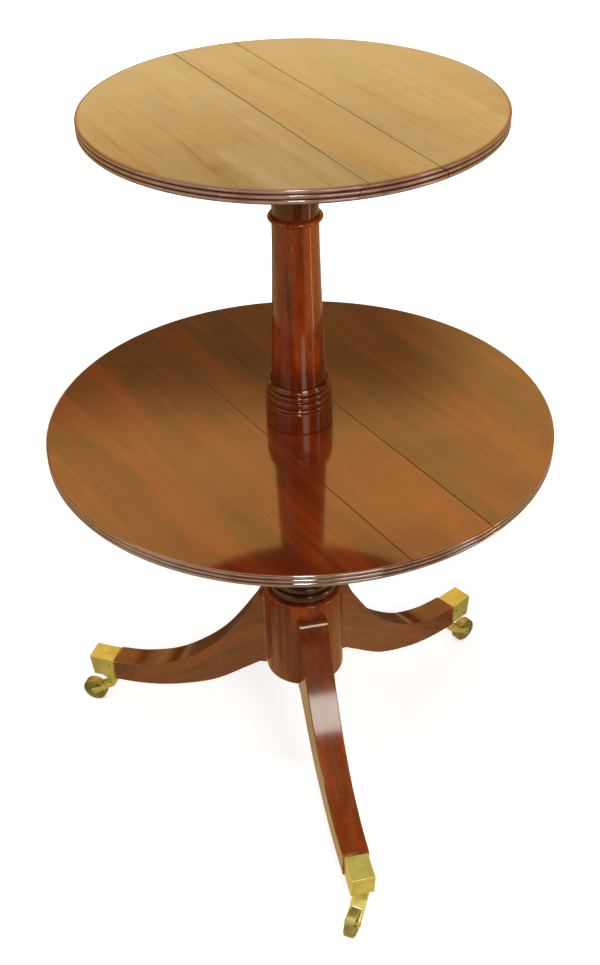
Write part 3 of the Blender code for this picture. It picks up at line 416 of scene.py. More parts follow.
@dataclass(frozen=True)
class BoardWood(Wood):
    """A tier's finish: a faded or ambered top face, and red reeds, joints and underside."""

    edge: Palette = EDGE
    # Painted sheen: this colour and share paint the top face lighter towards the back and darker towards
    # the front.
    sheen_colour: Triple = (0.530, 0.480, 0.270)
    sheen_gradient: float = 0.0

    def board(self, label: str, centre: Triple, azimuth_deg: float, shift: float, radius: float,
              seam: float) -> bpy.types.Material:
        """Make the finish for one board of a tier.

        Args:
            label: The board's name.
            centre: The middle of the tier's top face.
            azimuth_deg: The seams' direction.
            shift: Where the board lay in its plank.
            radius: The tier's radius.
            seam: Distance of the seams from the middle.

        Returns:
            The material.
        """
        material, g, _ = new_material(f"{self.name} {label}")
        grain = self.lay(g, centre, (0.0, 0.0, azimuth_deg), shift)
        parts = g.apart(grain.local)
        along, across, height = parts.also("X"), parts.also("Y"), parts.also("Z")
        reach = (along * along + across * across) ** 0.5
        off = abs(across) - seam
        near = abs(off)
        face = g.rise(height, -0.0010, -0.0002)
        cloud = g.noise(grain.place, (4.0, 4.0, 4.0), 3.0, shift + 40.0)
        rubs = g.rise(g.noise(grain.place, (60.0, 60.0, 60.0)), 0.38, 0.60)

        top = self.tint(g, grain, self.palette)
        back = g.apart(grain.place).also("Y")
        # Painted sheen: lighter towards the back, darker towards the front.
        top = g.mix(g.rise(back, -0.10, 0.26) * self.sheen_gradient, top, self.sheen_colour)
        top = g.mix(g.rise(back, 0.06, -0.20) * self.sheen_gradient * 0.7, top, self.palette.deep)
        top = g.mix(g.rise(cloud, 0.40, 0.62) * 0.30, top, self.palette.pale)
        top = g.mix(g.rise(near, 0.030, 0.002) * g.rise(cloud, 0.60, 0.42) * 0.35, top, self.palette.ash)
        top = g.mix(g.rise(near, 0.0010, 0.0004) * 0.45, top, self.edge.deep)
        rim = g.rise(reach, radius - 0.0040, radius - 0.0026)
        top = g.mix(rim * 0.75, top, self.edge.glow)
        side = self.tint(g, grain, self.edge)
        # The reeds' crests are painted lighter: partly wear, partly a painted highlight.
        crest = g.rise(reach, radius - 0.0007, radius - 0.0001)
        side = g.mix(crest * (rubs * 0.15 + 0.26), side, self.edge.worn)
        # Painted shade in the valleys between the reeds.
        valley_shade = g.rise(reach, radius - 0.0013, radius - 0.0021)
        side = g.mix(valley_shade * 0.7, side, darker(self.edge.deep, 0.4))
        # The underside is unpolished and painted darker: bare wood, and painted shade.
        bare = g.rise(height, BARE_BELOW + 0.0002, BARE_BELOW)
        side = g.mix(bare * 0.5, side, darker(self.edge.deep, 0.6))
        colour = g.mix(face, side, top)
        self.polished(g, grain, colour, crest * rubs, bare)
        return material


@dataclass(frozen=True)
class Metal:
    """Brass or iron, with its tarnish, handling marks and fine scratches."""

    name: str
    bright: Triple
    warm: Triple
    tarnish: Triple
    roughness: float
    metallic: float = 1.0
    spotting: float = 0.5

    def material(self, label: str, centre: Triple) -> bpy.types.Material:
        """Make the finish for one piece.

        Args:
            label: The piece's name.
            centre: A point on the piece.

        Returns:
            The material.
        """
        material, g, shader = new_material(f"{self.name} {label}")
        place = g.node("ShaderNodeMapping", {"vector_type": "TEXTURE"},
                       {"Vector": g.node("ShaderNodeTexCoord").also("Object"), "Location": centre})
        cloud = g.noise(place, (55.0, 55.0, 55.0), 3.0)
        spots = g.rise(g.noise(place, (230.0, 230.0, 230.0), 3.0, 5.0), 0.54, 0.68)
        marks = g.noise(place, (1500.0, 160.0, 420.0), 2.0, 11.0)
        crest = g.node("ShaderNodeNewGeometry").also("Pointiness")
        colour = g.mix(g.rise(cloud, 0.38, 0.62), self.bright, self.warm)
        colour = g.mix(spots * self.spotting, colour, self.tarnish)
        colour = g.mix(g.rise(crest, 0.49, 0.43) * 0.8, colour, self.tarnish)
        colour = g.mix(g.rise(crest, 0.52, 0.58) * 0.5, colour, self.bright)
        gloss = cloud * 0.14 + spots * 0.12 + marks * 0.08 + (self.roughness - 0.12)
        relief = g.node("ShaderNodeBump", {}, {"Strength": 0.12, "Distance": 0.0002,
                                               "Height": marks * 0.5 + cloud})
        g.feed(shader, {"Base Color": colour, "Roughness": gloss, "Normal": relief})
        shader.inputs["Metallic"].default_value = self.metallic
        return material


FADED_TOP = BoardWood("faded mahogany top", FADED, roughness=0.36, polish=0.88, figure=17.0,
                      polish_roughness=0.12, polish_ior=1.6, sheen_gradient=0.45)
AMBER_TOP = BoardWood("amber mahogany top", AMBER, roughness=0.30, polish=1.0, figure=15.0,
                      polish_ior=2.0)
RED_WOOD = Wood("red mahogany", RED, roughness=0.30, polish=0.85, shine=0.0, figure=30.0,
                polish_roughness=0.10)
LEG_WOOD = Wood("leg mahogany", LEG, roughness=0.30, polish=0.90, shine=0.0, figure=30.0,
                polish_roughness=0.12, polish_ior=1.62)
# Painted shade: the shade-darkened copy of the red finish.
SHADED_RED_WOOD = Wood("dusky mahogany", SHADED_RED, roughness=0.28, polish=0.9, figure=30.0)
BARE_WOOD = Wood("bare mahogany", BARE, roughness=0.6, polish=0.0, figure=30.0)
YELLOW_BRASS = Metal("yellow brass", (0.74, 0.66, 0.17), (0.65, 0.56, 0.110),
                     (0.38, 0.33, 0.09), 0.34, metallic=0.45, spotting=0.22)
OLIVE_BRASS = Metal("olive brass", (0.42, 0.38, 0.125), (0.33, 0.29, 0.085),
                    (0.16, 0.13, 0.055), 0.38, metallic=0.7, spotting=0.4)
PIN_IRON = Metal("rubbed iron", (0.56, 0.53, 0.42), (0.44, 0.40, 0.29), (0.20, 0.16, 0.11),
                 0.36, metallic=0.8, spotting=0.4)
OLD_IRON = Metal("old iron", (0.22, 0.21, 0.19), (0.15, 0.13, 0.115),
                 (0.075, 0.048, 0.034), 0.52, metallic=0.85, spotting=0.7)


# Outlines


def arc(centre: Point, radius: float, start_deg: float, end_deg: float, steps: int) -> list[Point]:
    """Points on an arc, both ends included."""
    angles = [math.radians(start_deg + (end_deg - start_deg) * i / steps) for i in range(steps + 1)]
    return [(centre[0] + radius * math.cos(a), centre[1] + radius * math.sin(a)) for a in angles]


def disc(radius: float, count: int, centre: Point = (0.0, 0.0)) -> list[Point]:
    """The corners of a round outline."""
    return arc(centre, radius, 0, 360 - 360 / count, count - 1)


def smooth_through(points: Sequence[Sequence[float]], steps: int) -> list[tuple[float, ...]]:
    """A smooth curve through points.

    Args:
        points: The points, ends included.
        steps: Steps from each point to the next.

    Returns:
        The curve's points.
    """
    first = tuple(2 * a - b for a, b in zip(points[0], points[1]))
    last = tuple(2 * a - b for a, b in zip(points[-1], points[-2]))
    chain = [first, *points, last]
    result = []
    for i in range(1, len(chain) - 2):
        for step in range(steps):
            t = step / steps
            result.append(tuple(
                (2 * b + (c - a) * t + (2 * a - 5 * b + 4 * c - d) * t ** 2
                 + (3 * b - 3 * c + d - a) * t ** 3) / 2
                for a, b, c, d in zip(*chain[i - 1:i + 3])))
    return [*result, tuple(points[-1])]


def half_round(inner: float, outer: float, top: float, bottom: float, steps: int) -> list[Point]:
    """A bead's profile from top to bottom, standing out from inner to outer."""
    angles = [math.pi / 2 - math.pi * i / steps for i in range(steps + 1)]
    return [(inner + (outer - inner) * math.cos(a),
             (top + bottom) / 2 + (top - bottom) / 2 * math.sin(a)) for a in angles]


def soften(points: Sequence[Point], reach: float | Sequence[float], steps: int = 4,
           closed: bool = False) -> list[Point]:
    """Round the corners of an outline and keep its flats flat beside them.

    Args:
        points: The outline's corners.
        reach: How far back from each corner the rounding starts, one for all or one each.
        steps: Steps in each rounding.
        closed: Whether the outline closes on itself.

    Returns:
        The rounded outline.
    """
    reaches = [reach] * len(points) if isinstance(reach, float) else list(reach)
    result: list[Point] = []
    for i, corner in enumerate(points):
        ends = not closed and i in (0, len(points) - 1)
        if ends or not reaches[i]:
            result.append(corner)
            continue
        here = Vector(corner)
        sides = []
        for other in (points[i - 1], points[(i + 1) % len(points)]):
            away = Vector(other) - here
            near = min(reaches[i], away.length * 0.45)
            far = min(reaches[i] * SUPPORT, away.length * 0.5)
            sides.append((away.normalized() * near, away.normalized() * far))
        (back, back_far), (ahead, ahead_far) = sides
        result.append(tuple(here + back_far))
        for step in range(steps + 1):
            t = step / steps
            result.append(tuple(here + back * (1 - t) ** 2 + ahead * t ** 2))
        result.append(tuple(here + ahead_far))
    return result


# Meshes


def on_axis(axis_y: float, turn_deg: float = 0.0) -> Matrix:
    """A frame on the column's axis, turned about it."""
    return Matrix.Translation((0, axis_y, 0)) @ Matrix.Rotation(math.radians(turn_deg), 4, "Z")


def shade(mesh: bpy.types.Mesh) -> bpy.types.Mesh:
    """Smooth shading, with true edges sharp and level or broad plane faces flat."""
    mesh.shade_smooth()
    mesh.set_sharp_from_angle(angle=math.radians(SHARP_ANGLE_DEG))
    for face in mesh.polygons:
        if abs(face.normal.z) > LEVEL or (face.area > BROAD_FACE and len(face.vertices) > 4):
            face.use_smooth = False
    return mesh


def mesh_from(bm: bmesh.types.BMesh, name: str) -> bpy.types.Mesh:
    """Close a bmesh's seams, turn its faces out and finish it as a mesh."""
    bmesh.ops.remove_doubles(bm, verts=bm.verts, dist=MERGE)
    bmesh.ops.recalc_face_normals(bm, faces=bm.faces)
    mesh = bpy.data.meshes.new(name)
    bm.to_mesh(mesh)
    bm.free()
    return shade(mesh)


def discard(obj: bpy.types.Object) -> None:
    """Remove an object, and its mesh if nothing else uses it."""
    mesh = obj.data
    bpy.data.objects.remove(obj, do_unlink=True)
    if not mesh.users:
        bpy.data.meshes.remove(mesh)


def evaluated(obj: bpy.types.Object, name: str) -> bpy.types.Mesh:
    """Take the mesh of an object after its modifiers, and remove the object."""
    bpy.context.view_layer.update()
    depsgraph = bpy.context.evaluated_depsgraph_get()
    mesh = bpy.data.meshes.new_from_object(obj.evaluated_get(depsgraph))
    mesh.name = name
    discard(obj)
    return mesh


def held(name: str, mesh: bpy.types.Mesh) -> bpy.types.Object:
    """An object in the scene that holds a mesh."""
    obj = bpy.data.objects.new(name, mesh)
    bpy.context.scene.collection.objects.link(obj)
    return obj


def prism(name: str, points: Sequence[Point], low: float, high: float,
          upright: bool = False) -> bpy.types.Mesh:
    """A flat outline given thickness.

    Args:
        name: The mesh's name.
        points: The outline, in XY, or in XZ when upright.
        low: Where the thickness starts, along Z, or along Y when upright.
        high: Where it ends.
        upright: Whether the outline stands in XZ.

    Returns:
        The mesh.
    """
    bm = bmesh.new()
    corners = [bm.verts.new((x, low, z) if upright else (x, z, low)) for x, z in points]
    face = bm.faces.new(corners)
    grown = bmesh.ops.extrude_face_region(bm, geom=[face])["geom"]
    moved = [item for item in grown if isinstance(item, bmesh.types.BMVert)]
    way = (0, high - low, 0) if upright else (0, 0, high - low)
    bmesh.ops.translate(bm, vec=way, verts=moved)
    return mesh_from(bm, name)


def carve(name: str, blank: bpy.types.Mesh, tools: Sequence[tuple[bpy.types.Mesh, str]],
          arris: float = 0.0) -> bpy.types.Mesh:
    """Cut, join or bound a blank with other solids.

    Args:
        name: The result's name.
        blank: The solid to start from.
        tools: Each solid with its Boolean operation, in order.
        arris: Width of a rounding on the blank's sharp edges, made first.

    Returns:
        The carved mesh.
    """
    obj = held(name, blank)
    if arris:
        bevel = obj.modifiers.new("arris", "BEVEL")
        bevel.width = arris
        bevel.segments = 4
        bevel.limit_method = "ANGLE"
        bevel.angle_limit = math.radians(ARRIS_ANGLE_DEG)
    helpers = []
    for mesh, operation in tools:
        helper = held(name + " tool", mesh)
        helpers.append(helper)
        modifier = obj.modifiers.new(operation.lower(), "BOOLEAN")
        modifier.object = helper
        modifier.operation = operation
        modifier.solver = "EXACT"
    mesh = evaluated(obj, name)
    for helper in helpers:
        discard(helper)
    mesh.materials.clear()
    return shade(mesh)


def loft(name: str, rings: Sequence[Sequence[Vector]]) -> bpy.types.Mesh:
    """A skin over rings of points, closed at both ends."""
    bm = bmesh.new()
    rows = [[bm.verts.new(point) for point in ring] for ring in rings]
    for one, two in zip(rows, rows[1:]):
        for i in range(len(one)):
            j = (i + 1) % len(one)
            bm.faces.new((one[i], one[j], two[j], two[i]))
    bm.faces.new(rows[0])
    bm.faces.new(rows[-1])
    return mesh_from(bm, name)


class NodeLathe:
    """Turns profiles about Z with one geometry tree."""

    def __init__(self) -> None:
        """Build the tree: a grid whose rows take the profile's radii and heights."""
        tree = bpy.data.node_groups.new("turned piece", "GeometryNodeTree")
        face = tree.interface
        face.new_socket("Profile", in_out="INPUT", socket_type="NodeSocketGeometry")
        self.steps = face.new_socket("Steps", in_out="INPUT", socket_type="NodeSocketInt").identifier
        face.new_socket("Turned", in_out="OUTPUT", socket_type="NodeSocketGeometry")
        self.tree = tree
        g = Graph(tree)
        given = g.node("NodeGroupInput")
        profile, steps = given.also("Profile"), given.also("Steps")
        rows = g.node("GeometryNodeAttributeDomainSize", {}, {0: profile})
        grid = g.node("GeometryNodeMeshGrid", {}, {"Size X": 1.0, "Size Y": 1.0,
                                                   "Vertices X": steps + 1, "Vertices Y": rows})
        place = g.apart(g.node("GeometryNodeInputPosition"))
        row = (place.also("Y") + 0.5) * (rows - 1)
        row = row.math("ROUND", row)
        angle = (place.also("X") + 0.5) * (2 * math.pi)
        point = g.node("GeometryNodeSampleIndex", {"data_type": "FLOAT_VECTOR", "domain": "POINT"},
                       {"Geometry": profile, "Value": g.node("GeometryNodeInputPosition"), "Index": row})
        parts = g.apart(point)
        radius, height = parts.also("X"), parts.also("Z")
        spot = g.join({"X": radius * angle.math("COSINE", angle), "Y": radius * angle.math("SINE", angle),
                       "Z": height})
        turned = g.node("GeometryNodeSetPosition", {}, {"Geometry": grid, "Position": spot})
        closed = g.node("GeometryNodeMergeByDistance", {}, {"Geometry": turned, "Distance": MERGE})
        g.node("NodeGroupOutput", {}, {"Turned": closed})

    def turn(self, name: str, profile: Sequence[Point], steps: int,
             ring: bool = False) -> bpy.types.Mesh:
        """Turn a profile.

        Args:
            name: The mesh's name.
            profile: Points of radius and height, from top to bottom down the outer side.
            steps: Steps round the axis.
            ring: Whether the profile closes on itself clear of the axis.

        Returns:
            The turned mesh.
        """
        points = [*profile, profile[0]] if ring else list(profile)
        mesh = bpy.data.meshes.new(name + " profile")
        mesh.from_pydata([(radius, 0, height) for radius, height in points],
                         [(i, i + 1) for i in range(len(points) - 1)], [])
        obj = held(name, mesh)
        modifier = obj.modifiers.new("lathe", "NODES")
        modifier.node_group = self.tree
        modifier[self.steps] = steps
        turned = evaluated(obj, name)
        bm = bmesh.new()
        bm.from_mesh(turned)
        bpy.data.meshes.remove(turned)
        return mesh_from(bm, name)


class NodeScrews:
    """Sets slotted countersunk screw heads on points with one geometry tree."""

    def __init__(self) -> None:
        """Build the tree."""
        tree = bpy.data.node_groups.new("slotted screws", "GeometryNodeTree")
        face = tree.interface
        face.new_socket("Seats", in_out="INPUT", socket_type="NodeSocketGeometry")
        self.inputs = {
            label: face.new_socket(label, in_out="INPUT", socket_type=f"NodeSocket{kind}").identifier
            for label, kind in (("Head radius", "Float"), ("Head height", "Float"),
                                ("Slot width", "Float"), ("Seed", "Int"), ("Finish", "Material"))}
        face.new_socket("Screws", in_out="OUTPUT", socket_type="NodeSocketGeometry")
        self.tree = tree
        g = Graph(tree)
        given = g.node("NodeGroupInput")
        radius, height = given.also("Head radius"), given.also("Head height")
        head = g.node("GeometryNodeMeshCone", {}, {
            "Vertices": 24, "Radius Top": radius * 0.88, "Radius Bottom": radius, "Depth": height * 3})
        head = g.node("GeometryNodeTransform", {}, {
            "Geometry": head, "Translation": g.join({"Z": height * -2})})
        size = g.join({"X": radius * 2.4, "Y": given.also("Slot width"), "Z": height * 2.4})
        slot = g.node("GeometryNodeMeshCube", {}, {"Size": size})
        slot = g.node("GeometryNodeTransform", {}, {
            "Geometry": slot, "Translation": g.join({"Z": height})})
        cut = g.node("GeometryNodeMeshBoolean", {"operation": "DIFFERENCE", "solver": "EXACT"},
                     {"Mesh 1": head, "Mesh 2": slot})
        facing = g.node("GeometryNodeInputNamedAttribute", {"data_type": "FLOAT_VECTOR"},
                        {"Name": "facing"})
        spin = g.node("FunctionNodeRandomValue", {"data_type": "FLOAT"},
                      {"Min": 0.0, "Max": math.pi, "Seed": given.also("Seed")})
        upright = g.node("FunctionNodeAlignRotationToVector", {"axis": "Z"}, {"Vector": facing})
        turned = g.node("FunctionNodeEulerToRotation", {}, {0: g.join({"Z": spin})})
        turned = g.node("FunctionNodeRotateRotation", {"rotation_space": "LOCAL"},
                        {0: upright, 1: turned})
        seats = g.node("GeometryNodeInstanceOnPoints", {}, {
            "Points": given.also("Seats"), "Instance": cut, "Rotation": turned})
        real = g.node("GeometryNodeRealizeInstances", {}, {0: seats})
        dressed = g.node("GeometryNodeSetMaterial", {}, {"Geometry": real,
                                                         "Material": given.also("Finish")})
        g.node("NodeGroupOutput", {}, {"Screws": dressed})

    def drive(self, name: str, seats: Sequence[tuple[Vector, Vector]], radius: float,
              finish: bpy.types.Material, seed: int) -> bpy.types.Mesh:
        """Set the screws of one body.

        Args:
            name: The mesh's name.
            seats: Each screw's place on its plate and the way its head faces.
            radius: The heads' radius.
            finish: Their material.
            seed: Picks how the slots happen to lie.

        Returns:
            One mesh with all the heads.
        """
        mesh = bpy.data.meshes.new(name + " seats")
        mesh.from_pydata([place for place, _ in seats], [], [])
        facing = mesh.attributes.new("facing", "FLOAT_VECTOR", "POINT")
        facing.data.foreach_set("vector", [c for _, way in seats for c in way])
        obj = held(name, mesh)
        modifier = obj.modifiers.new("screws", "NODES")
        modifier.node_group = self.tree
        values = {"Head radius": radius, "Head height": radius * 0.11, "Slot width": radius * 0.30,
                  "Seed": seed, "Finish": finish}
        for label, value in values.items():
            modifier[self.inputs[label]] = value
        return evaluated(obj, name)


class Bench:
    """Puts finished pieces on their bodies and keeps count."""

    def __init__(self) -> None:
        """Start with no pieces."""
        self.lathe = NodeLathe()
        self.screws = NodeScrews()
        self.count = 0

    def place(self, name: str, mesh: bpy.types.Mesh, body: str, slot: Slot,
              material: bpy.types.Material | None, nodes: Sequence[str] = (),
              at: Matrix | None = None) -> None:
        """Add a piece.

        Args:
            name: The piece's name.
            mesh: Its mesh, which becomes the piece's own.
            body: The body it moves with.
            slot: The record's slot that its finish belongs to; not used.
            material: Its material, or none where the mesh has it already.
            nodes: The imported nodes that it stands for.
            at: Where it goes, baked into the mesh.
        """
        if at is not None:
            mesh.transform(at)
        if material is not None:
            mesh.materials.clear()
            mesh.materials.append(material)
        piece = held(name, mesh)
        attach(piece, body)
        if nodes:
            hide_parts(*nodes)
        self.count += 1
        LOG.info("%s rides on %s: %d faces", name, body, len(mesh.polygons))

    def fasten(self, name: str, seats: Sequence[tuple[Vector, Vector]], radius: float,
               finish: bpy.types.Material, seed: int, body: str, slot: Slot) -> None:
        """Drive a body's screws and add them as one piece.

        Args:
            name: The piece's name.
            seats: Each screw's place and the way its head faces.
            radius: The heads' radius.
            finish: Their material.
            seed: Picks how the slots happen to lie.
            body: The body they move with.
            slot: The record's slot that their finish belongs to.
        """
        self.place(name, self.screws.drive(name, seats, radius, finish, seed), body, slot, None)

    def refinish(self, node: str, material: bpy.types.Material) -> None:
        """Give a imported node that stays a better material."""
        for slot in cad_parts[node].material_slots:
            slot.material = material
        LOG.info("%s refinished", node)


# The table's sub-assemblies


@dataclass
class Tier:
    """One round tier: a centre board and two half-moon leaves on rule joints."""

    prefix: str
    wood: BoardWood
    radius: float
    top: float
    seam: float
    azimuth_deg: float
    spread: float
    bore: float
    bore_top: float
    plate: float
    peg: float
    bearer_width: float
    axis_y: float
    reeds: int = 3
    steps: int = 240
    reed_steps: int = 10
    fillet: float = 0.0022
    pin_depth: float = 0.0122
    joint_gap: float = 0.0006
    joint_steps: int = 12
    arris: float = 0.0004
    hinge_width: float = 0.038
    fixed_length: float = 0.018
    leaf_length: float = 0.034
    flap: float = 0.0016
    loop: float = 0.0026
    notch: float = 0.0005
    plate_thickness: float = 0.002
    peg_sink: float = 0.007
    stop_deg: float = 135.0
    screw: float = 0.0021
    crest_drop: float = 0.0007
    fixed_screws: tuple[Point, ...] = ((-0.0125, -0.012), (-0.0125, 0.012))
    leaf_screws: tuple[Point, ...] = ((0.0165, -0.012), (0.0165, 0.012), (0.0275, 0.0))

    @property
    def fine_radius(self) -> float:
        """Radius at the reeds' crests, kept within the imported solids' flats."""
        return self.radius - self.crest_drop

    @property
    def underside(self) -> float:
        """Height of the boards' underside."""
        return self.top - BOARD_THICKNESS

    @property
    def at(self) -> Matrix:
        """The tier's own frame, with its Y axis along the seams."""
        return on_axis(self.axis_y, self.azimuth_deg - 90)

    def blank(self, lathe: NodeLathe) -> bpy.types.Mesh:
        """The whole round of the tier with its reeded edge."""
        pitch = BOARD_THICKNESS / self.reeds
        root = self.fine_radius - pitch / 2
        profile = [(0, self.top), (root, self.top)]
        for i in range(self.reeds):
            high = self.top - i * pitch
            profile += half_round(root, self.fine_radius, high, high - pitch, self.reed_steps)[1:]
        return lathe.turn(self.prefix + " blank", [*profile, (0, self.underside)], self.steps)

    def board_section(self) -> list[Point]:
        """The centre board's section across the seams."""
        ovolo = self.pin_depth - self.fillet
        pin = self.top - self.pin_depth
        right = [(self.seam - self.arris, self.top + OVERRUN)]
        right += arc((self.seam - self.arris, self.top - self.arris), self.arris, 90, 0, 4)
        right += arc((self.seam, pin), ovolo, 90, 0, self.joint_steps)
        right.append((self.seam + ovolo, self.underside - OVERRUN))
        return right + [(-x, z) for x, z in reversed(right)]

    def leaf_section(self) -> list[Point]:
        """A leaf's section across its seam."""
        cove = self.pin_depth - self.fillet + self.joint_gap
        pin = self.top - self.pin_depth
        low = self.underside - OVERRUN
        lip = self.seam + self.joint_gap
        points = [(lip + self.arris, self.top + OVERRUN), (self.radius + OVERRUN, self.top + OVERRUN),
                  (self.radius + OVERRUN, low), (self.seam + cove, low)]
        points += arc((self.seam, pin), cove, 0, math.degrees(math.acos(self.joint_gap / cove)),
                      self.joint_steps)
        return points + arc((lip + self.arris, self.top - self.arris), self.arris, 180, 90, 4)

    def housings(self, sides: Sequence[Side], section: Sequence[Point]) -> bpy.types.Mesh:
        """Housings for the hinges, cut up from the underside.

        Args:
            sides: The seams that have them.
            section: Points of distance outward from the pin and height above the underside.

        Returns:
            All the housings as one mesh.
        """
        half = self.hinge_width / 2 + FIT
        bm = bmesh.new()
        for side in sides:
            for along in (-self.spread, self.spread):
                points = [(side.value * (self.seam + x), self.underside + z) for x, z in section]
                one = prism("housing", points, along - half, along + half, True)
                bm.from_mesh(one)
                bpy.data.meshes.remove(one)
        return mesh_from(bm, self.prefix + " housings")

    def peg_place(self) -> Point:
        """Where the stop peg stands, so that the tier turns a quarter between its stops."""
        bearing = math.radians(self.stop_deg)
        reach = (self.bearer_width / 2 + self.peg + RUNNING_GAP) / math.sin(math.pi - bearing)
        return -reach * math.sin(bearing), reach * math.cos(bearing)

    def board(self, lathe: NodeLathe) -> bpy.types.Mesh:
        """The centre board, with its housings, bore, plate seat and peg socket."""
        flap = self.flap + FIT
        reach = self.loop + self.notch + FIT
        pin_low = BOARD_THICKNESS - self.pin_depth
        crown = pin_low + self.loop + FIT
        inner, outer = -self.fixed_length - FIT, self.pin_depth - self.fillet + self.joint_gap + OVERRUN
        section = [(inner, -OVERRUN), (outer, -OVERRUN), (outer, flap), (reach, flap), (reach, crown),
                   (-reach, crown), (-reach, flap), (inner, flap)]
        low = self.underside - OVERRUN
        span = self.radius + OVERRUN
        x, y = self.peg_place()
        tools = [
            (prism("board", self.board_section(), -span, span, True), "INTERSECT"),
            (self.housings((Side.RIGHT, Side.LEFT), section), "DIFFERENCE"),
            (prism("bore", disc(self.bore, 72), low, self.bore_top), "DIFFERENCE"),
            (prism("plate seat", disc(self.plate + FIT, 72), low,
                   self.underside + self.plate_thickness + FIT), "DIFFERENCE"),
            (prism("peg socket", disc(self.peg + FIT, 24, (x, y)), low,
                   self.underside + self.peg_sink + FIT), "DIFFERENCE")]
        return carve(self.prefix + " board", self.blank(lathe), tools)

    def leaf(self, side: Side, lathe: NodeLathe) -> bpy.types.Mesh:
        """A leaf with its cove and the housings for its flaps."""
        flap = self.flap + FIT
        inner = self.pin_depth - self.fillet + self.joint_gap - OVERRUN
        outer = self.leaf_length + FIT
        housing = [(inner, -OVERRUN), (outer, -OVERRUN), (outer, flap), (inner, flap)]
        section = [(side.value * x, z) for x, z in self.leaf_section()]
        span = self.radius + OVERRUN
        return carve(f"{self.prefix} {side.word} leaf", self.blank(lathe), [
            (prism("leaf", section, -span, span, True), "INTERSECT"),
            (self.housings((side,), housing), "DIFFERENCE")])

    def flap_seats(self, side: Side, fixed: bool) -> list[tuple[Vector, Vector]]:
        """Places of the screws in a seam's flaps, facing down."""
        seats = []
        places = self.fixed_screws if fixed else self.leaf_screws
        low = self.underside + FIT / 3
        for along in (-self.spread, self.spread):
            for out, across in places:
                local = Vector((side.value * (self.seam + out), along + across, low))
                seats.append((self.at @ local, DOWN))
        return seats

    def plate_seats(self) -> list[tuple[Vector, Vector]]:
        """Places of the screws in the pivot plate, facing down."""
        ring = (self.bore + self.plate) / 2
        return [(self.at @ Vector((x, y, self.underside)), DOWN)
                for x, y in arc((0, 0), ring, 60, 330, 3)]

    def build(self, bench: Bench) -> None:
        """Make the tier's pieces."""
        body = self.prefix + "_tier"
        centre = (0.0, self.axis_y, self.top)
        bench.place(self.prefix + "_board_dressed", self.board(bench.lathe), body, Slot.TOP,
                    self.wood.board(self.prefix + " board", centre, self.azimuth_deg, 1.3,
                                    self.fine_radius, self.seam),
                    (self.prefix + "_centre_board",), self.at)
        brass = OLIVE_BRASS.material(self.prefix + " hinges", centre)
        iron = OLD_IRON.material(self.prefix + " iron", centre)
        bench.refinish(self.prefix + "_pivot_plate", iron)
        bench.refinish(self.prefix + "_stop_peg",
                       BARE_WOOD.material(self.prefix + " peg", centre, UPRIGHT_GRAIN))
        fixed = []
        for number, side in enumerate(Side):
            leaf_body = f"{self.prefix}_{side.word}_leaf"
            shift = 3.7 + 5.1 * number + self.radius
            bench.place(leaf_body + "_dressed", self.leaf(side, bench.lathe), leaf_body, Slot.TOP,
                        self.wood.board(leaf_body, centre, self.azimuth_deg, shift,
                                        self.fine_radius, self.seam),
                        (f"{self.prefix}_leaf_{side.word}",), self.at)
            for end in ("front", "back"):
                stem = f"{self.prefix}_{side.word}_{end}"
                bench.refinish(stem + "_fixed_flap", brass)
                bench.refinish(stem + "_leaf_flap", brass)
                bench.refinish(stem + "_hinge_pin", iron)
            seats = self.flap_seats(side, False)
            bench.fasten(leaf_body + "_screws", seats, self.screw, brass, number + 5, leaf_body, Slot.DULL)
            fixed += self.flap_seats(side, True)
        bench.fasten(body + "_flap_screws", fixed, self.screw, brass, 3, body, Slot.DULL)
        bench.fasten(body + "_plate_screws", self.plate_seats(), self.screw, iron, 9, body, Slot.IRON)


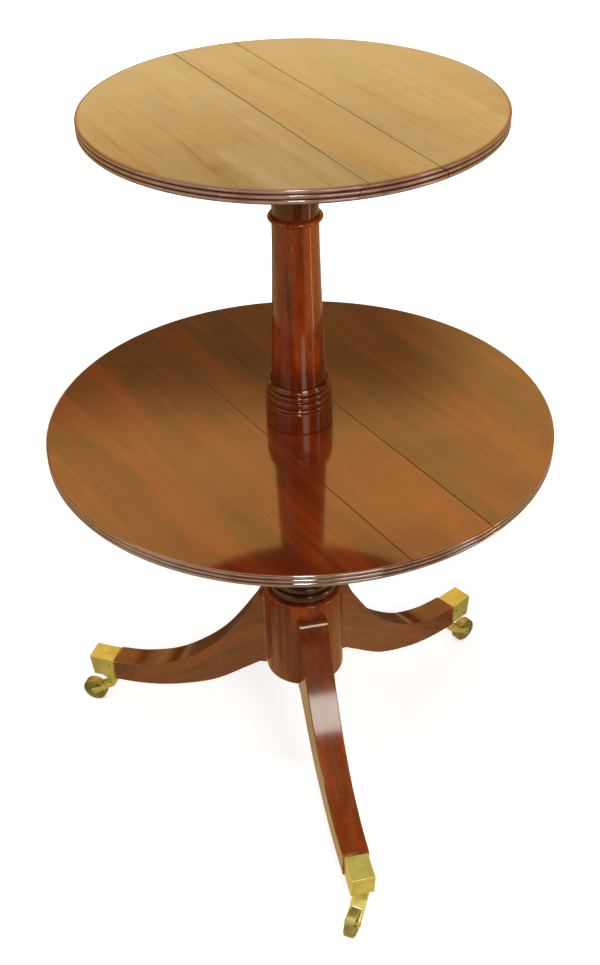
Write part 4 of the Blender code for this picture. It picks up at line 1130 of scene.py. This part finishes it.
@dataclass
class Column:
    """The turned column between the tiers, and the plainer one under the lower tier."""

    axis_y: float
    low: float = 0.5584
    high: float = 0.936
    shoulder: float = 0.9123
    steps: int = 128
    bead_steps: int = 12
    plinth: float = 0.0402
    plinth_height: float = 0.027
    rings_height: float = 0.030
    foot_radius: float = 0.0323
    neck_radius: float = 0.0265
    astragal: float = 0.0311
    astragal_thickness: float = 0.007
    astragal_level: float = 0.82
    necking: float = 0.0261
    capital: float = 0.0325
    capital_height: float = 0.016
    upper_spigot: float = 0.0107
    lower_spigot: float = 0.0147
    lower_top: float = 0.5974
    lower_shoulder: float = 0.5223
    lower_capital: float = 0.037
    lower_capital_height: float = 0.030
    lower_neck: float = 0.030
    lower_shaft: float = 0.0355
    lower_foot: float = 0.0465
    lower_foot_height: float = 0.033
    foot_level: float = 0.3003
    tenon: float = 0.0157
    tenon_length: float = 0.070
    edge: float = 0.001
    quirk: float = 0.96
    base_fillet: float = 0.86
    foot_fillet: float = 0.80
    astragal_steps: int = 16
    swell_steps: int = 6
    swell: tuple[Point, ...] = ((0.0, 1.0), (0.08, 0.90), (0.28, 0.66), (0.60, 0.28), (0.85, 0.06),
                                (1.0, 0.0))
    base_rings: tuple[Triple, ...] = ((0.990, 0.00, 0.17), (0.990, 0.20, 0.45), (0.972, 0.48, 0.73),
                                      (0.930, 0.76, 0.92))
    foot_rings: tuple[Triple, ...] = ((1.000, 0.00, 0.34), (0.930, 0.42, 0.62), (0.860, 0.72, 0.84))
    capital_rings: tuple[Triple, ...] = ((0.880, 0.00, 0.24), (1.000, 0.50, 1.00))

    def rings(self, shares: Sequence[Triple], radius: float, base: float, height: float) -> list[Point]:
        """A stack of half-round rings as a profile from the top down.

        Args:
            shares: Each ring's radius and ends as shares, from the lowest up.
            radius: The widest ring's radius.
            base: Where the stack stands.
            height: Its height.

        Returns:
            The profile.
        """
        points: list[Point] = []
        for share, low, high in reversed(shares):
            outer = radius * share
            points += half_round(outer * self.quirk, outer, base + height * high,
                                 base + height * low, self.bead_steps)
        return points

    def spigot(self, top: float, radius: float, shoulder: float, capital: float) -> list[Point]:
        """A profile's start, from its spigot's top to the shoulder of its capital."""
        return [(0, top), (radius - self.edge, top), (radius, top - self.edge), (radius, shoulder),
                (capital * self.quirk, shoulder)]

    def shaft(self, foot: float, neck: float, low: float, high: float) -> list[Point]:
        """A tapering shaft from its neck down to its foot."""
        curve = smooth_through(self.swell, self.swell_steps)
        return [(neck + (foot - neck) * taper, low + (high - low) * rise)
                for rise, taper in reversed(curve)]

    def upper_profile(self) -> list[Point]:
        """The column between the tiers, with the socket in its plinth."""
        capital = self.shoulder - self.capital_height
        plinth_top = self.low + self.plinth_height
        shaft_low = plinth_top + self.rings_height
        ring_low = self.astragal_level - self.astragal_thickness / 2
        ring_high = self.astragal_level + self.astragal_thickness / 2
        bore = self.lower_spigot + FIT
        edge = self.edge
        profile = self.spigot(self.high, self.upper_spigot, self.shoulder, self.capital)
        profile += self.rings(self.capital_rings, self.capital, capital, self.capital_height)[1:]
        profile += [(self.necking, capital - edge), (self.necking, capital - 2 * edge),
                    (self.necking, ring_high + edge), (self.necking, ring_high)]
        profile += half_round(self.neck_radius, self.astragal, ring_high, ring_low, self.astragal_steps)
        profile += self.shaft(self.foot_radius, self.neck_radius, shaft_low, ring_low - edge)
        profile.append((self.plinth * self.base_fillet, shaft_low))
        profile += self.rings(self.base_rings, self.plinth, plinth_top, self.rings_height)
        drum = [(self.plinth - 3 * edge, plinth_top), (self.plinth, plinth_top), (self.plinth, self.low),
                (bore + edge, self.low)]
        profile += soften(drum, edge)
        socket = self.lower_top + FIT
        return profile + [(bore, self.low), (bore, socket), (0, socket)]

    def lower_profile(self) -> list[Point]:
        """The column under the lower tier, from its spigot to its tenon."""
        foot, edge = self.foot_level, self.edge
        capital = self.lower_shoulder - self.lower_capital_height
        low = foot + self.lower_foot_height
        profile = self.spigot(self.lower_top, self.lower_spigot, self.lower_shoulder, self.lower_capital)
        profile += self.rings(self.capital_rings, self.lower_capital, capital,
                              self.lower_capital_height)[1:]
        profile += self.shaft(self.lower_shaft, self.lower_neck, low, capital)
        profile.append((self.lower_foot * self.foot_fillet, low))
        profile += self.rings(self.foot_rings, self.lower_foot, foot, self.lower_foot_height)
        end = foot - self.tenon_length
        return profile + [(self.tenon, foot), (self.tenon, end + edge), (self.tenon - edge, end), (0, end)]

    def build(self, bench: Bench) -> None:
        """Make both columns."""
        at = on_axis(self.axis_y)
        neck = self.astragal_level + self.astragal_thickness / 2 - self.low
        # Painted shade: the upper column is darkened at its foot and above its astragal, under the upper
        # tier.
        painted_shade_bands = ((0.105, 0.060, 0.66), (neck, neck + 0.002, 0.68))
        # The lower column takes the shade-darkened copy of the red finish: painted shade.
        for word, profile, level, wood, painted_shade in (
                ("upper", self.upper_profile(), self.low, RED_WOOD, painted_shade_bands),
                ("lower", self.lower_profile(), self.foot_level, SHADED_RED_WOOD, ())):
            centre = (0.012, self.axis_y + 0.02, level)
            turned = bench.lathe.turn(f"{word} column", profile, self.steps)
            finish = wood.material(f"{word} column", centre, UPRIGHT_GRAIN, 2.2, painted_shade)
            bench.place(f"{word}_column_turned", turned, "stand", Slot.RED, finish, (f"{word}_column",), at)


@dataclass(frozen=True)
class Cap:
    """A toe cap's box: its reach from the column's axis, its walls and its leaning end."""

    outer: float = 0.3274
    length: float = 0.0379
    width: float = 0.0305
    top: float = 0.0962
    bottom: float = 0.063
    wall: float = 0.002
    lean: float = 0.0045

    @property
    def inner(self) -> float:
        """Reach of its inner end."""
        return self.outer - self.length


@dataclass
class Pedestal:
    """The round block, its three curved legs and the iron plate beneath."""

    axis_y: float
    radius: float = 0.052
    bottom: float = 0.165
    top: float = 0.300
    top_arris: float = 0.003
    foot_arris: float = 0.001
    tenon: float = 0.0160
    tenon_floor: float = 0.2297
    steps: int = 144
    root_width: float = 0.0395
    toe_width: float = 0.0345
    root_top: float = 0.279
    root_bottom: float = 0.162
    arris: float = 0.0012
    span_steps: int = 9
    key_depth: float = 0.015
    key_neck: float = 0.012
    key_tail: float = 0.018
    key_reach: float = 0.006
    key_top: float = 0.262
    key_bottom: float = 0.166
    cap: Cap = Cap()
    pintle_head: float = 0.0017
    plate_thickness: float = 0.0025
    screw: float = 0.0026
    screw_reaches: Point = (0.024, 0.040)
    top_shares: tuple[Point, ...] = ((0.0, 1.0), (0.04, 0.985), (0.1, 0.83), (0.3, 0.45),
                                     (0.56, 0.165), (0.8, 0.038), (1.0, 0.0))
    bottom_shares: tuple[Point, ...] = ((0.0, 1.0), (0.035, 0.975), (0.11, 0.835), (0.33, 0.44),
                                        (0.59, 0.17), (0.8, 0.046), (1.0, 0.0))
    azimuths_deg: tuple[tuple[str, float], ...] = (("front", -90.0), ("right", 30.0), ("left", 150.0))

    def line(self, azimuth_deg: float) -> Matrix:
        """The frame of a leg, with its outward line along X."""
        return on_axis(self.axis_y, azimuth_deg)

    def key_plan(self, gap: float) -> list[Point]:
        """Plan of a leg's dovetail key, or of its slot when a gap is added."""
        tail, reach = self.radius - self.key_depth - gap, self.radius + self.key_reach
        neck, wide = self.key_neck / 2 + gap, self.key_tail / 2 + gap
        return [(tail, -wide), (self.radius, -neck), (reach, -neck), (reach, neck), (self.radius, neck),
                (tail, wide)]

    def block(self, lathe: NodeLathe) -> bpy.types.Mesh:
        """The block, with a slot for each leg's key."""
        corners = [(0, self.tenon_floor), (self.tenon, self.tenon_floor), (self.tenon, self.top),
                   (self.radius, self.top), (self.radius, self.bottom), (0, self.bottom)]
        reaches = (0, 0, self.foot_arris, self.top_arris * 1.3, self.foot_arris, 0)
        blank = lathe.turn("block", soften(corners, reaches, 6), self.steps)
        tools = []
        for _, azimuth in self.azimuths_deg:
            slot = prism("slot", self.key_plan(FIT), self.bottom - OVERRUN, self.key_top + FIT)
            slot.transform(Matrix.Rotation(math.radians(azimuth), 4, "Z"))
            tools.append((slot, "DIFFERENCE"))
        return carve("block", blank, tools)

    def leg(self) -> bpy.types.Mesh:
        """A leg with its key and its toe, its outward line along X."""
        reach = self.cap.inner - FIT - self.radius
        edges = []
        for shares, root, end in ((self.top_shares, self.root_top, self.cap.top),
                                  (self.bottom_shares, self.root_bottom, self.cap.bottom)):
            points = [(self.radius + reach * out, end + (root - end) * up) for out, up in shares]
            start = (self.radius - self.key_depth / 2, root)
            edges.append([start, *smooth_through(points, self.span_steps)])
        rings = []
        for (xt, zt), (xb, zb) in zip(*edges):
            out = max(((xt + xb) / 2 - self.radius) / (self.cap.inner - self.radius), 0.0)
            half = (self.root_width + (self.toe_width - self.root_width) * out) / 2
            over = Vector((xt - xb, 0, zt - zb))
            rise, up = over.length / 2, over.normalized()
            middle = Vector(((xt + xb) / 2, 0, (zt + zb) / 2))
            corners = [(-half, -rise), (half, -rise), (half, rise), (-half, rise)]
            rings.append([middle + Vector((0, a, 0)) + up * b
                          for a, b in soften(corners, self.arris, 4, True)])
        cope = prism("cope", disc(self.radius + FIT, 144), self.bottom - self.radius, self.top + OVERRUN)
        key = prism("key", self.key_plan(0), self.key_bottom, self.key_top)
        wall = self.cap.wall + FIT
        side = self.cap.width / 2 - wall
        low = self.cap.bottom + wall + self.pintle_head + 2 * FIT
        toe = prism("toe", [(self.cap.inner - self.cap.wall, low),
                            (self.cap.outer - self.cap.lean - wall, low),
                            (self.cap.outer - self.cap.lean - wall, self.cap.top - wall),
                            (self.cap.inner - self.cap.wall, self.cap.top - wall)], -side, side, True)
        return carve("leg", loft("leg body", rings),
                     [(cope, "DIFFERENCE"), (key, "UNION"), (toe, "UNION")])

    def build(self, bench: Bench) -> None:
        """Make the block, the legs and the plate's finish."""
        at = on_axis(self.axis_y)
        bench.place("block_dressed", self.block(bench.lathe), "stand", Slot.RED,
                    RED_WOOD.material("block", (0.01, self.axis_y - 0.015, 0.2), (0.0, -90.0, 20.0), 5.5),
                    ("pedestal_block",), at)
        iron = OLD_IRON.material("tie plate", (0.0, self.axis_y, self.bottom))
        bench.refinish("tie_plate", iron)
        leg = self.leg()
        seats = []
        for number, (word, azimuth) in enumerate(self.azimuths_deg):
            line = self.line(azimuth)
            centre = tuple(line @ Vector((0.17, 0.0, 0.15)))
            finish = LEG_WOOD.material(f"leg {word}", centre, (0.0, 36.0, azimuth), 3.1 * number + 0.4)
            bench.place(f"leg_{word}_shaped", leg.copy(), "stand", Slot.RED, finish,
                        (f"leg_{word}",), line)
            under = self.bottom - FIT - self.plate_thickness
            seats += [(line @ Vector((reach, 0, under)), DOWN) for reach in self.screw_reaches]
        bpy.data.meshes.remove(leg)
        bench.fasten("tie_plate_screws", seats, self.screw, iron, 4, "stand", Slot.IRON)
        for prefix, turn_deg in SEAM_AZIMUTHS_DEG.items():
            bench.refinish(prefix + "_bearer", BARE_WOOD.material(
                prefix + " bearer", (0.0, self.axis_y, 0.5), (0.0, 0.0, turn_deg), 4.4))


@dataclass
class Foot:
    """A brass toe cap and its caster: pintle, horn, axle and wheel."""

    word: str
    line: Matrix
    swing_deg: float
    cap: Cap = Cap()
    cap_edge: float = 0.0009
    screw: float = 0.0023
    screw_back: float = 0.0078
    screw_drop: float = 0.0118
    trail: float = 0.024
    wheel: float = 0.018
    wheel_width: float = 0.0126
    wheel_edge: float = 0.001
    rim: float = 0.003
    dish: float = 0.0018
    boss: float = 0.0048
    axle: float = 0.002
    axle_head: float = 0.003
    pintle: float = 0.003
    pintle_head: float = 0.0046
    head_height: float = 0.0017
    horn_width: float = 0.0188
    horn_slot: float = 0.0138
    slot_radius: float = 0.02
    horn_boss: float = 0.008
    boss_height: float = 0.0094
    eye: float = 0.005
    boss_edge: float = 0.0008
    eye_edge: float = 0.0006
    horn_edge: float = 0.0007
    web_slope: float = 0.0006
    wheel_soft: float = 0.0004
    rivet: tuple[Point, ...] = ((0.0, 0.001), (0.5, 0.0009), (0.85, 0.0006), (1.0, 0.0))
    horn_line: tuple[Triple, ...] = (
        (0.0, 1.0, 0.80), (-0.30, 0.99, 0.80), (-0.49, 0.84, 0.66), (-0.40, 0.60, 0.72),
        (0.02, 0.42, 0.80), (0.50, 0.20, 0.78), (1.0, 0.0, 0.90))

    @property
    def pintle_reach(self) -> float:
        """Reach of the pintle from the column's axis."""
        return self.cap.outer - self.cap.length / 2

    @property
    def horn_top(self) -> float:
        """Height of the horn's bearing face."""
        return self.cap.bottom - RUNNING_GAP

    def cap_mesh(self) -> bpy.types.Mesh:
        """The box-shaped cap, open towards the leg."""
        inner, wall = self.cap.inner, self.cap.wall
        side = [(inner, self.cap.bottom), (self.cap.outer - self.cap.lean, self.cap.bottom),
                (self.cap.outer, self.cap.top), (inner, self.cap.top)]
        end = self.cap.outer - self.cap.lean - wall
        hollow = [(inner - OVERRUN, self.cap.bottom + wall), (end, self.cap.bottom + wall),
                  (end, self.cap.top - wall), (inner - OVERRUN, self.cap.top - wall)]
        half = self.cap.width / 2
        hole = prism("hole", disc(self.pintle + FIT, 24, (self.pintle_reach, 0)),
                     self.cap.bottom - OVERRUN, self.cap.bottom + wall + OVERRUN)
        return carve("cap", prism("cap side", side, -half, half, True), [
            (prism("hollow", hollow, wall - half, half - wall, True), "DIFFERENCE"),
            (hole, "DIFFERENCE")], self.cap_edge)

    def pintle_mesh(self, lathe: NodeLathe) -> bpy.types.Mesh:
        """The rivet on which the horn turns."""
        low = self.cap.bottom + self.cap.wall + FIT
        foot = self.horn_top - self.boss_height - FIT
        head, rise = self.pintle_head, self.head_height
        return lathe.turn("pintle", [
            (0, low + rise), (head * 0.6, low + rise), (head, low + rise * 0.5), (head, low),
            (self.pintle, low), (self.pintle, foot), (head, foot), (head * 0.9, foot - rise * 0.5),
            (head * 0.6, foot - rise * 0.9), (0, foot - rise)], 40)

    def horn_side(self) -> list[Point]:
        """Side view of the horn's strap, trailing along X."""
        rise = self.horn_top - self.boss_height / 2 - self.wheel
        line = smooth_through([(self.trail * out, self.wheel + rise * up, self.eye * depth)
                               for out, up, depth in self.horn_line], 8)
        outer, inner = [], []
        for i, (x, z, depth) in enumerate(line):
            ahead, behind = line[min(i + 1, len(line) - 1)], line[max(i - 1, 0)]
            way = Vector((ahead[0] - behind[0], ahead[1] - behind[1])).normalized()
            outer.append((x + way.y * depth, z - way.x * depth))
            inner.append((x - way.y * depth, z + way.x * depth))
        return outer + inner[::-1]

    def horn(self, lathe: NodeLathe) -> bpy.types.Mesh:
        """The caster's forked horn: boss, strap, two arms and their eyes."""
        half, low = self.horn_width / 2, self.horn_top - self.boss_height
        strap = prism("strap", self.horn_side(), -half, half, True)
        boss = lathe.turn("boss", soften([(0, self.horn_top), (self.horn_boss, self.horn_top),
                                          (self.horn_boss, low), (0, low)], self.boss_edge), 64)
        hub = Matrix.Translation((self.trail, 0, self.wheel)) @ ALONG_Y
        eye = lathe.turn("eye", soften([(0, half), (self.eye, half), (self.eye, -half), (0, -half)],
                                       self.eye_edge), 48)
        eye.transform(hub)
        slot = prism("slot", disc(self.slot_radius, 72, (self.trail, self.wheel)),
                     -self.horn_slot / 2, self.horn_slot / 2, True)
        swivel = prism("swivel", disc(self.pintle + FIT, 24), low - OVERRUN, self.horn_top + OVERRUN)
        axle = prism("axle", disc(self.axle + FIT, 24, (self.trail, self.wheel)),
                     -half - OVERRUN, half + OVERRUN, True)
        return carve("horn", strap, [(boss, "UNION"), (eye, "UNION"), (slot, "DIFFERENCE"),
                                     (swivel, "DIFFERENCE"), (axle, "DIFFERENCE")], self.horn_edge)

    def wheel_mesh(self, lathe: NodeLathe) -> bpy.types.Mesh:
        """The dished wheel with its raised rim and boss, its axle along Y."""
        half, bore = self.wheel_width / 2, self.axle + FIT
        rim, web = self.wheel - self.rim, half - self.dish
        face = [(bore, half), (self.boss, half), (self.boss + self.web_slope, web),
                (rim - self.web_slope, web), (rim, half), (self.wheel - self.wheel_edge, half),
                (self.wheel, half - self.wheel_edge)]
        corners = face + [(radius, -height) for radius, height in reversed(face)]
        mesh = lathe.turn("wheel", soften(corners, self.wheel_soft, 4, True), 96, True)
        mesh.transform(ALONG_Y)
        return mesh

    def axle_mesh(self, lathe: NodeLathe) -> bpy.types.Mesh:
        """The wheel's pin with a rivet head at either end, along Y."""
        half = self.horn_width / 2 + FIT
        face = [(self.axle_head * out, half + rise) for out, rise in self.rivet] + [(self.axle, half)]
        mesh = lathe.turn("axle", face + [(r, -h) for r, h in reversed(face)], 40)
        mesh.transform(ALONG_Y)
        return mesh

    def build(self, bench: Bench) -> None:
        """Make the foot's pieces."""
        word, lathe = self.word, bench.lathe
        middle = tuple(self.line @ Vector((self.pintle_reach, 0, 0.05)))
        bright = YELLOW_BRASS.material(f"{word} cap", middle)
        iron = OLD_IRON.material(f"{word} pins", middle)
        pin = PIN_IRON.material(f"{word} axle", middle)
        dull = OLIVE_BRASS.material(f"{word} wheel", middle)
        bench.place(f"toe_cap_{word}_cast", self.cap_mesh(), "stand", Slot.BRIGHT, bright,
                    (f"toe_cap_{word}",), self.line)
        along = self.cap.inner + self.screw_back
        seats = [(self.line @ Vector((along, side * self.cap.width / 2, self.cap.top - self.screw_drop)),
                  self.line.to_3x3() @ Vector((0, side, 0))) for side in (-1, 1)]
        bench.fasten(f"toe_cap_{word}_screws", seats, self.screw, dull, 2, "stand", Slot.DULL)
        pivot = self.line @ Matrix.Translation((self.pintle_reach, 0, 0))
        bench.place(f"pintle_{word}_turned", self.pintle_mesh(lathe), "stand", Slot.IRON, iron,
                    (f"caster_pintle_{word}",), pivot)
        swivel = pivot @ Matrix.Rotation(math.radians(self.swing_deg), 4, "Z")
        body = f"{word}_horn"
        bench.place(f"horn_{word}_cast", self.horn(lathe), body, Slot.BRIGHT, bright,
                    (f"caster_horn_{word}",), swivel)
        hub = swivel @ Matrix.Translation((self.trail, 0, self.wheel))
        bench.place(f"axle_{word}_turned", self.axle_mesh(lathe), body, Slot.IRON, pin,
                    (f"caster_axle_{word}",), hub)
        bench.place(f"wheel_{word}_turned", self.wheel_mesh(lathe), f"{word}_wheel", Slot.DULL, dull,
                    (f"caster_wheel_{word}",), hub)


# Studio


@dataclass(frozen=True)
class Lamp:
    """A soft lamp: where it hangs, its size and its power."""

    name: str
    place: Triple
    size: Point
    power: float
    aim: Triple = (0.0, 0.0, 0.5)
    colour: Triple = (1.0, 1.0, 1.0)

    def light(self) -> None:
        """Hang the lamp."""
        data = bpy.data.lights.new(self.name, "AREA")
        data.shape = "RECTANGLE"
        data.size, data.size_y = self.size
        data.energy = self.power
        data.color = self.colour
        obj = bpy.data.objects.new(self.name, data)
        bpy.context.scene.collection.objects.link(obj)
        obj.location = self.place
        obj.visible_camera = False
        obj.rotation_euler = (Vector(self.aim) - Vector(self.place)).to_track_quat("-Z", "Y").to_euler()


@dataclass
class Studio:
    """The pale floor, the white surroundings, the soft lamps and the camera."""

    camera: Triple = (-0.27321, -1.31626, 1.42439)
    yaw: float = 0.20062
    pitch: float = 0.6146
    roll: float = -0.02257
    lens: float = 49.763
    sensor: float = 36.0
    floor_radius: float = 12.0
    lamps: tuple[Lamp, ...] = (
        Lamp("key", (-0.21, -1.07, 2.34), (0.2, 0.2), 19.0, (0.0, 0.0, 0.6)),
        Lamp("overhead", (-0.3, 0.3, 2.9), (2.2, 2.2), 13.0),
        Lamp("left window", (-2.6, -1.0, 1.9), (2.4, 2.4), 22.0, colour=(1.0, 0.93, 0.80)),
        Lamp("right strip", (2.2, -1.5, 1.3), (0.35, 2.0), 9.0),
        Lamp("front window", (0.29, -1.62, 1.32), (0.5, 0.65), 10.0, (0.0, -0.1, 0.17),
             (1.0, 0.95, 0.84)),
        Lamp("low strip", (0.80, -0.42, 0.32), (0.07, 0.6), 0.75, (0.0, 0.02, 0.7), (1.0, 0.66, 0.34)))

    def floor(self) -> None:
        """Lay the floor, white to the camera where no shadow falls."""
        bm = bmesh.new()
        bmesh.ops.create_circle(bm, cap_ends=True, segments=96, radius=self.floor_radius)
        floor = held("floor", mesh_from(bm, "floor"))
        material, g, shader = new_material("floor")
        shader.inputs["Roughness"].default_value = 0.9
        shader.inputs["Specular IOR Level"].default_value = 0.0
        path = g.node("ShaderNodeLightPath")
        seen, mirrored = path.also("Is Camera Ray"), path.also("Is Glossy Ray")
        place = g.node("ShaderNodeTexCoord").also("Object")
        away = g.node("ShaderNodeVectorMath", {"operation": "LENGTH"}, {0: place}).also("Value")
        across = g.apart(place).also("X")
        sides = g.rise(abs(across), 0.5, 0.9)
        ahead = g.vector("ADD", place, (0.0, 0.25, 0.0))
        near = g.node("ShaderNodeVectorMath", {"operation": "LENGTH"}, {0: ahead}).also("Value")
        # Painted reflection: glossy rays see the floor warm tan near the table and dark brown farther off.
        colour = g.mix(g.rise(near, 0.60, 0.35), (0.15, 0.11, 0.05), (0.44, 0.35, 0.16))
        colour = g.mix(mirrored, (0.34, 0.31, 0.27), colour)
        colour = g.mix(seen, colour, (0.93, 0.93, 0.93))
        g.feed(shader, {"Base Color": colour})
        # In reflections only, the floor glows warm at its sides and beneath the table: painted reflections
        # on the column and legs.
        beneath = g.rise(away, 0.42, 0.28) * 0.55
        light = seen * g.rise(away, 0.6, 2.5, 0.50, 1.0) + mirrored * (sides * 0.8 + beneath)
        glow = g.node("ShaderNodeEmission", {}, {"Color": g.mix(seen, (1.0, 0.70, 0.30), (1.0, 1.0, 1.0)),
                                                 "Strength": light})
        both = g.node("ShaderNodeAddShader", {}, {0: Wire(g, shader), 1: glow})
        g.feed(material.node_tree.nodes["Material Output"], {"Surface": both})
        floor.data.materials.append(material)

    def surroundings(self) -> None:
        """White to the camera and behind the table in reflections, softer as light."""
        world = bpy.data.worlds.new("surroundings")
        world.use_nodes = True
        bpy.context.scene.world = world
        world.node_tree.nodes.clear()
        g = Graph(world.node_tree)
        path = g.node("ShaderNodeLightPath")
        way = g.apart(g.node("ShaderNodeTexCoord").also("Generated"))
        level = way.also("Z")
        behind = g.rise(way.also("Y"), -0.55, 0.35, 0.08, 1.0) * g.rise(level, 0.12, 0.28, 0.04, 1.42)
        mirrored = path.also("Is Glossy Ray") + path.also("Is Transmission Ray")
        strength = path.also("Is Camera Ray") + mirrored * behind
        diffuse = (1 - path.also("Is Camera Ray")) * (1 - mirrored) * 0.43
        flag = g.rise(level, 0.33, 0.44) * g.rise(level, 0.555, 0.50) * g.rise(way.also("X"), 0.33, 0.24)
        strength = strength * (1 - flag * mirrored * 0.88)
        tint = g.mix(mirrored, (1.0, 1.0, 1.0), (1.0, 0.53, 0.14))
        sky = g.node("ShaderNodeBackground", {}, {"Color": tint, "Strength": strength + diffuse})
        g.node("ShaderNodeOutputWorld", {}, {"Surface": sky})

    def view(self) -> None:
        """Set the camera at the photograph's angle."""
        data = bpy.data.cameras.new("camera")
        data.lens = self.lens
        data.sensor_width = self.sensor
        camera = bpy.data.objects.new("camera", data)
        bpy.context.scene.collection.objects.link(camera)
        ahead = Vector((math.sin(self.yaw) * math.cos(self.pitch),
                        math.cos(self.yaw) * math.cos(self.pitch), -math.sin(self.pitch)))
        level = Vector((math.cos(self.yaw), -math.sin(self.yaw), 0))
        plumb = level.cross(ahead)
        right = level * math.cos(self.roll) + plumb * math.sin(self.roll)
        up = plumb * math.cos(self.roll) - level * math.sin(self.roll)
        turn = Matrix((right, up, -ahead)).transposed().to_4x4()
        camera.matrix_world = Matrix.Translation(self.camera) @ turn
        bpy.context.scene.camera = camera

    def build(self) -> None:
        """Set up the studio."""
        self.floor()
        self.surroundings()
        for lamp in self.lamps:
            lamp.light()
        self.view()
        bpy.context.scene.view_settings.view_transform = "Standard"


def column_line(swing_deg: float = CASTER_SWINGS_DEG[0], reach: float = 0.30845, trail: float = 0.024,
                wheel: float = 0.018, width: float = 0.0106, tier: float = 0.305) -> float:
    """How far behind the overall box's middle the column stands, from the front wheel's reach."""
    swing = math.radians(swing_deg)
    front = reach + (trail + wheel) * math.cos(swing) + width / 2 * abs(math.sin(swing))
    return (max(front, Cap().outer) - tier) / 2


def main() -> None:
    """Build the table's sub-assemblies in order, then the studio."""
    logging.basicConfig(level=logging.INFO, format="%(name)s: %(message)s")
    bench = Bench()
    axis_y = column_line()
    tiers = (
        Tier("lower", AMBER_TOP, radius=0.305, top=0.558, seam=0.0531,
             azimuth_deg=SEAM_AZIMUTHS_DEG["lower"], spread=0.165, bore=0.015, bore_top=0.561,
             plate=0.030, peg=0.0040, bearer_width=0.060, axis_y=axis_y),
        Tier("upper", FADED_TOP, radius=0.2275, top=0.945, seam=0.0389,
             azimuth_deg=SEAM_AZIMUTHS_DEG["upper"], spread=0.115, bore=0.011, bore_top=0.9363,
             plate=0.022, peg=0.0035, bearer_width=0.040, axis_y=axis_y))
    for tier in tiers:
        tier.build(bench)
    Column(axis_y).build(bench)
    pedestal = Pedestal(axis_y)
    pedestal.build(bench)
    for (word, azimuth), swing in zip(pedestal.azimuths_deg, CASTER_SWINGS_DEG):
        Foot(word, pedestal.line(azimuth), swing).build(bench)
    Studio().build()
    LOG.info("%d pieces placed", bench.count)


if __name__ == "__main__":
    main()
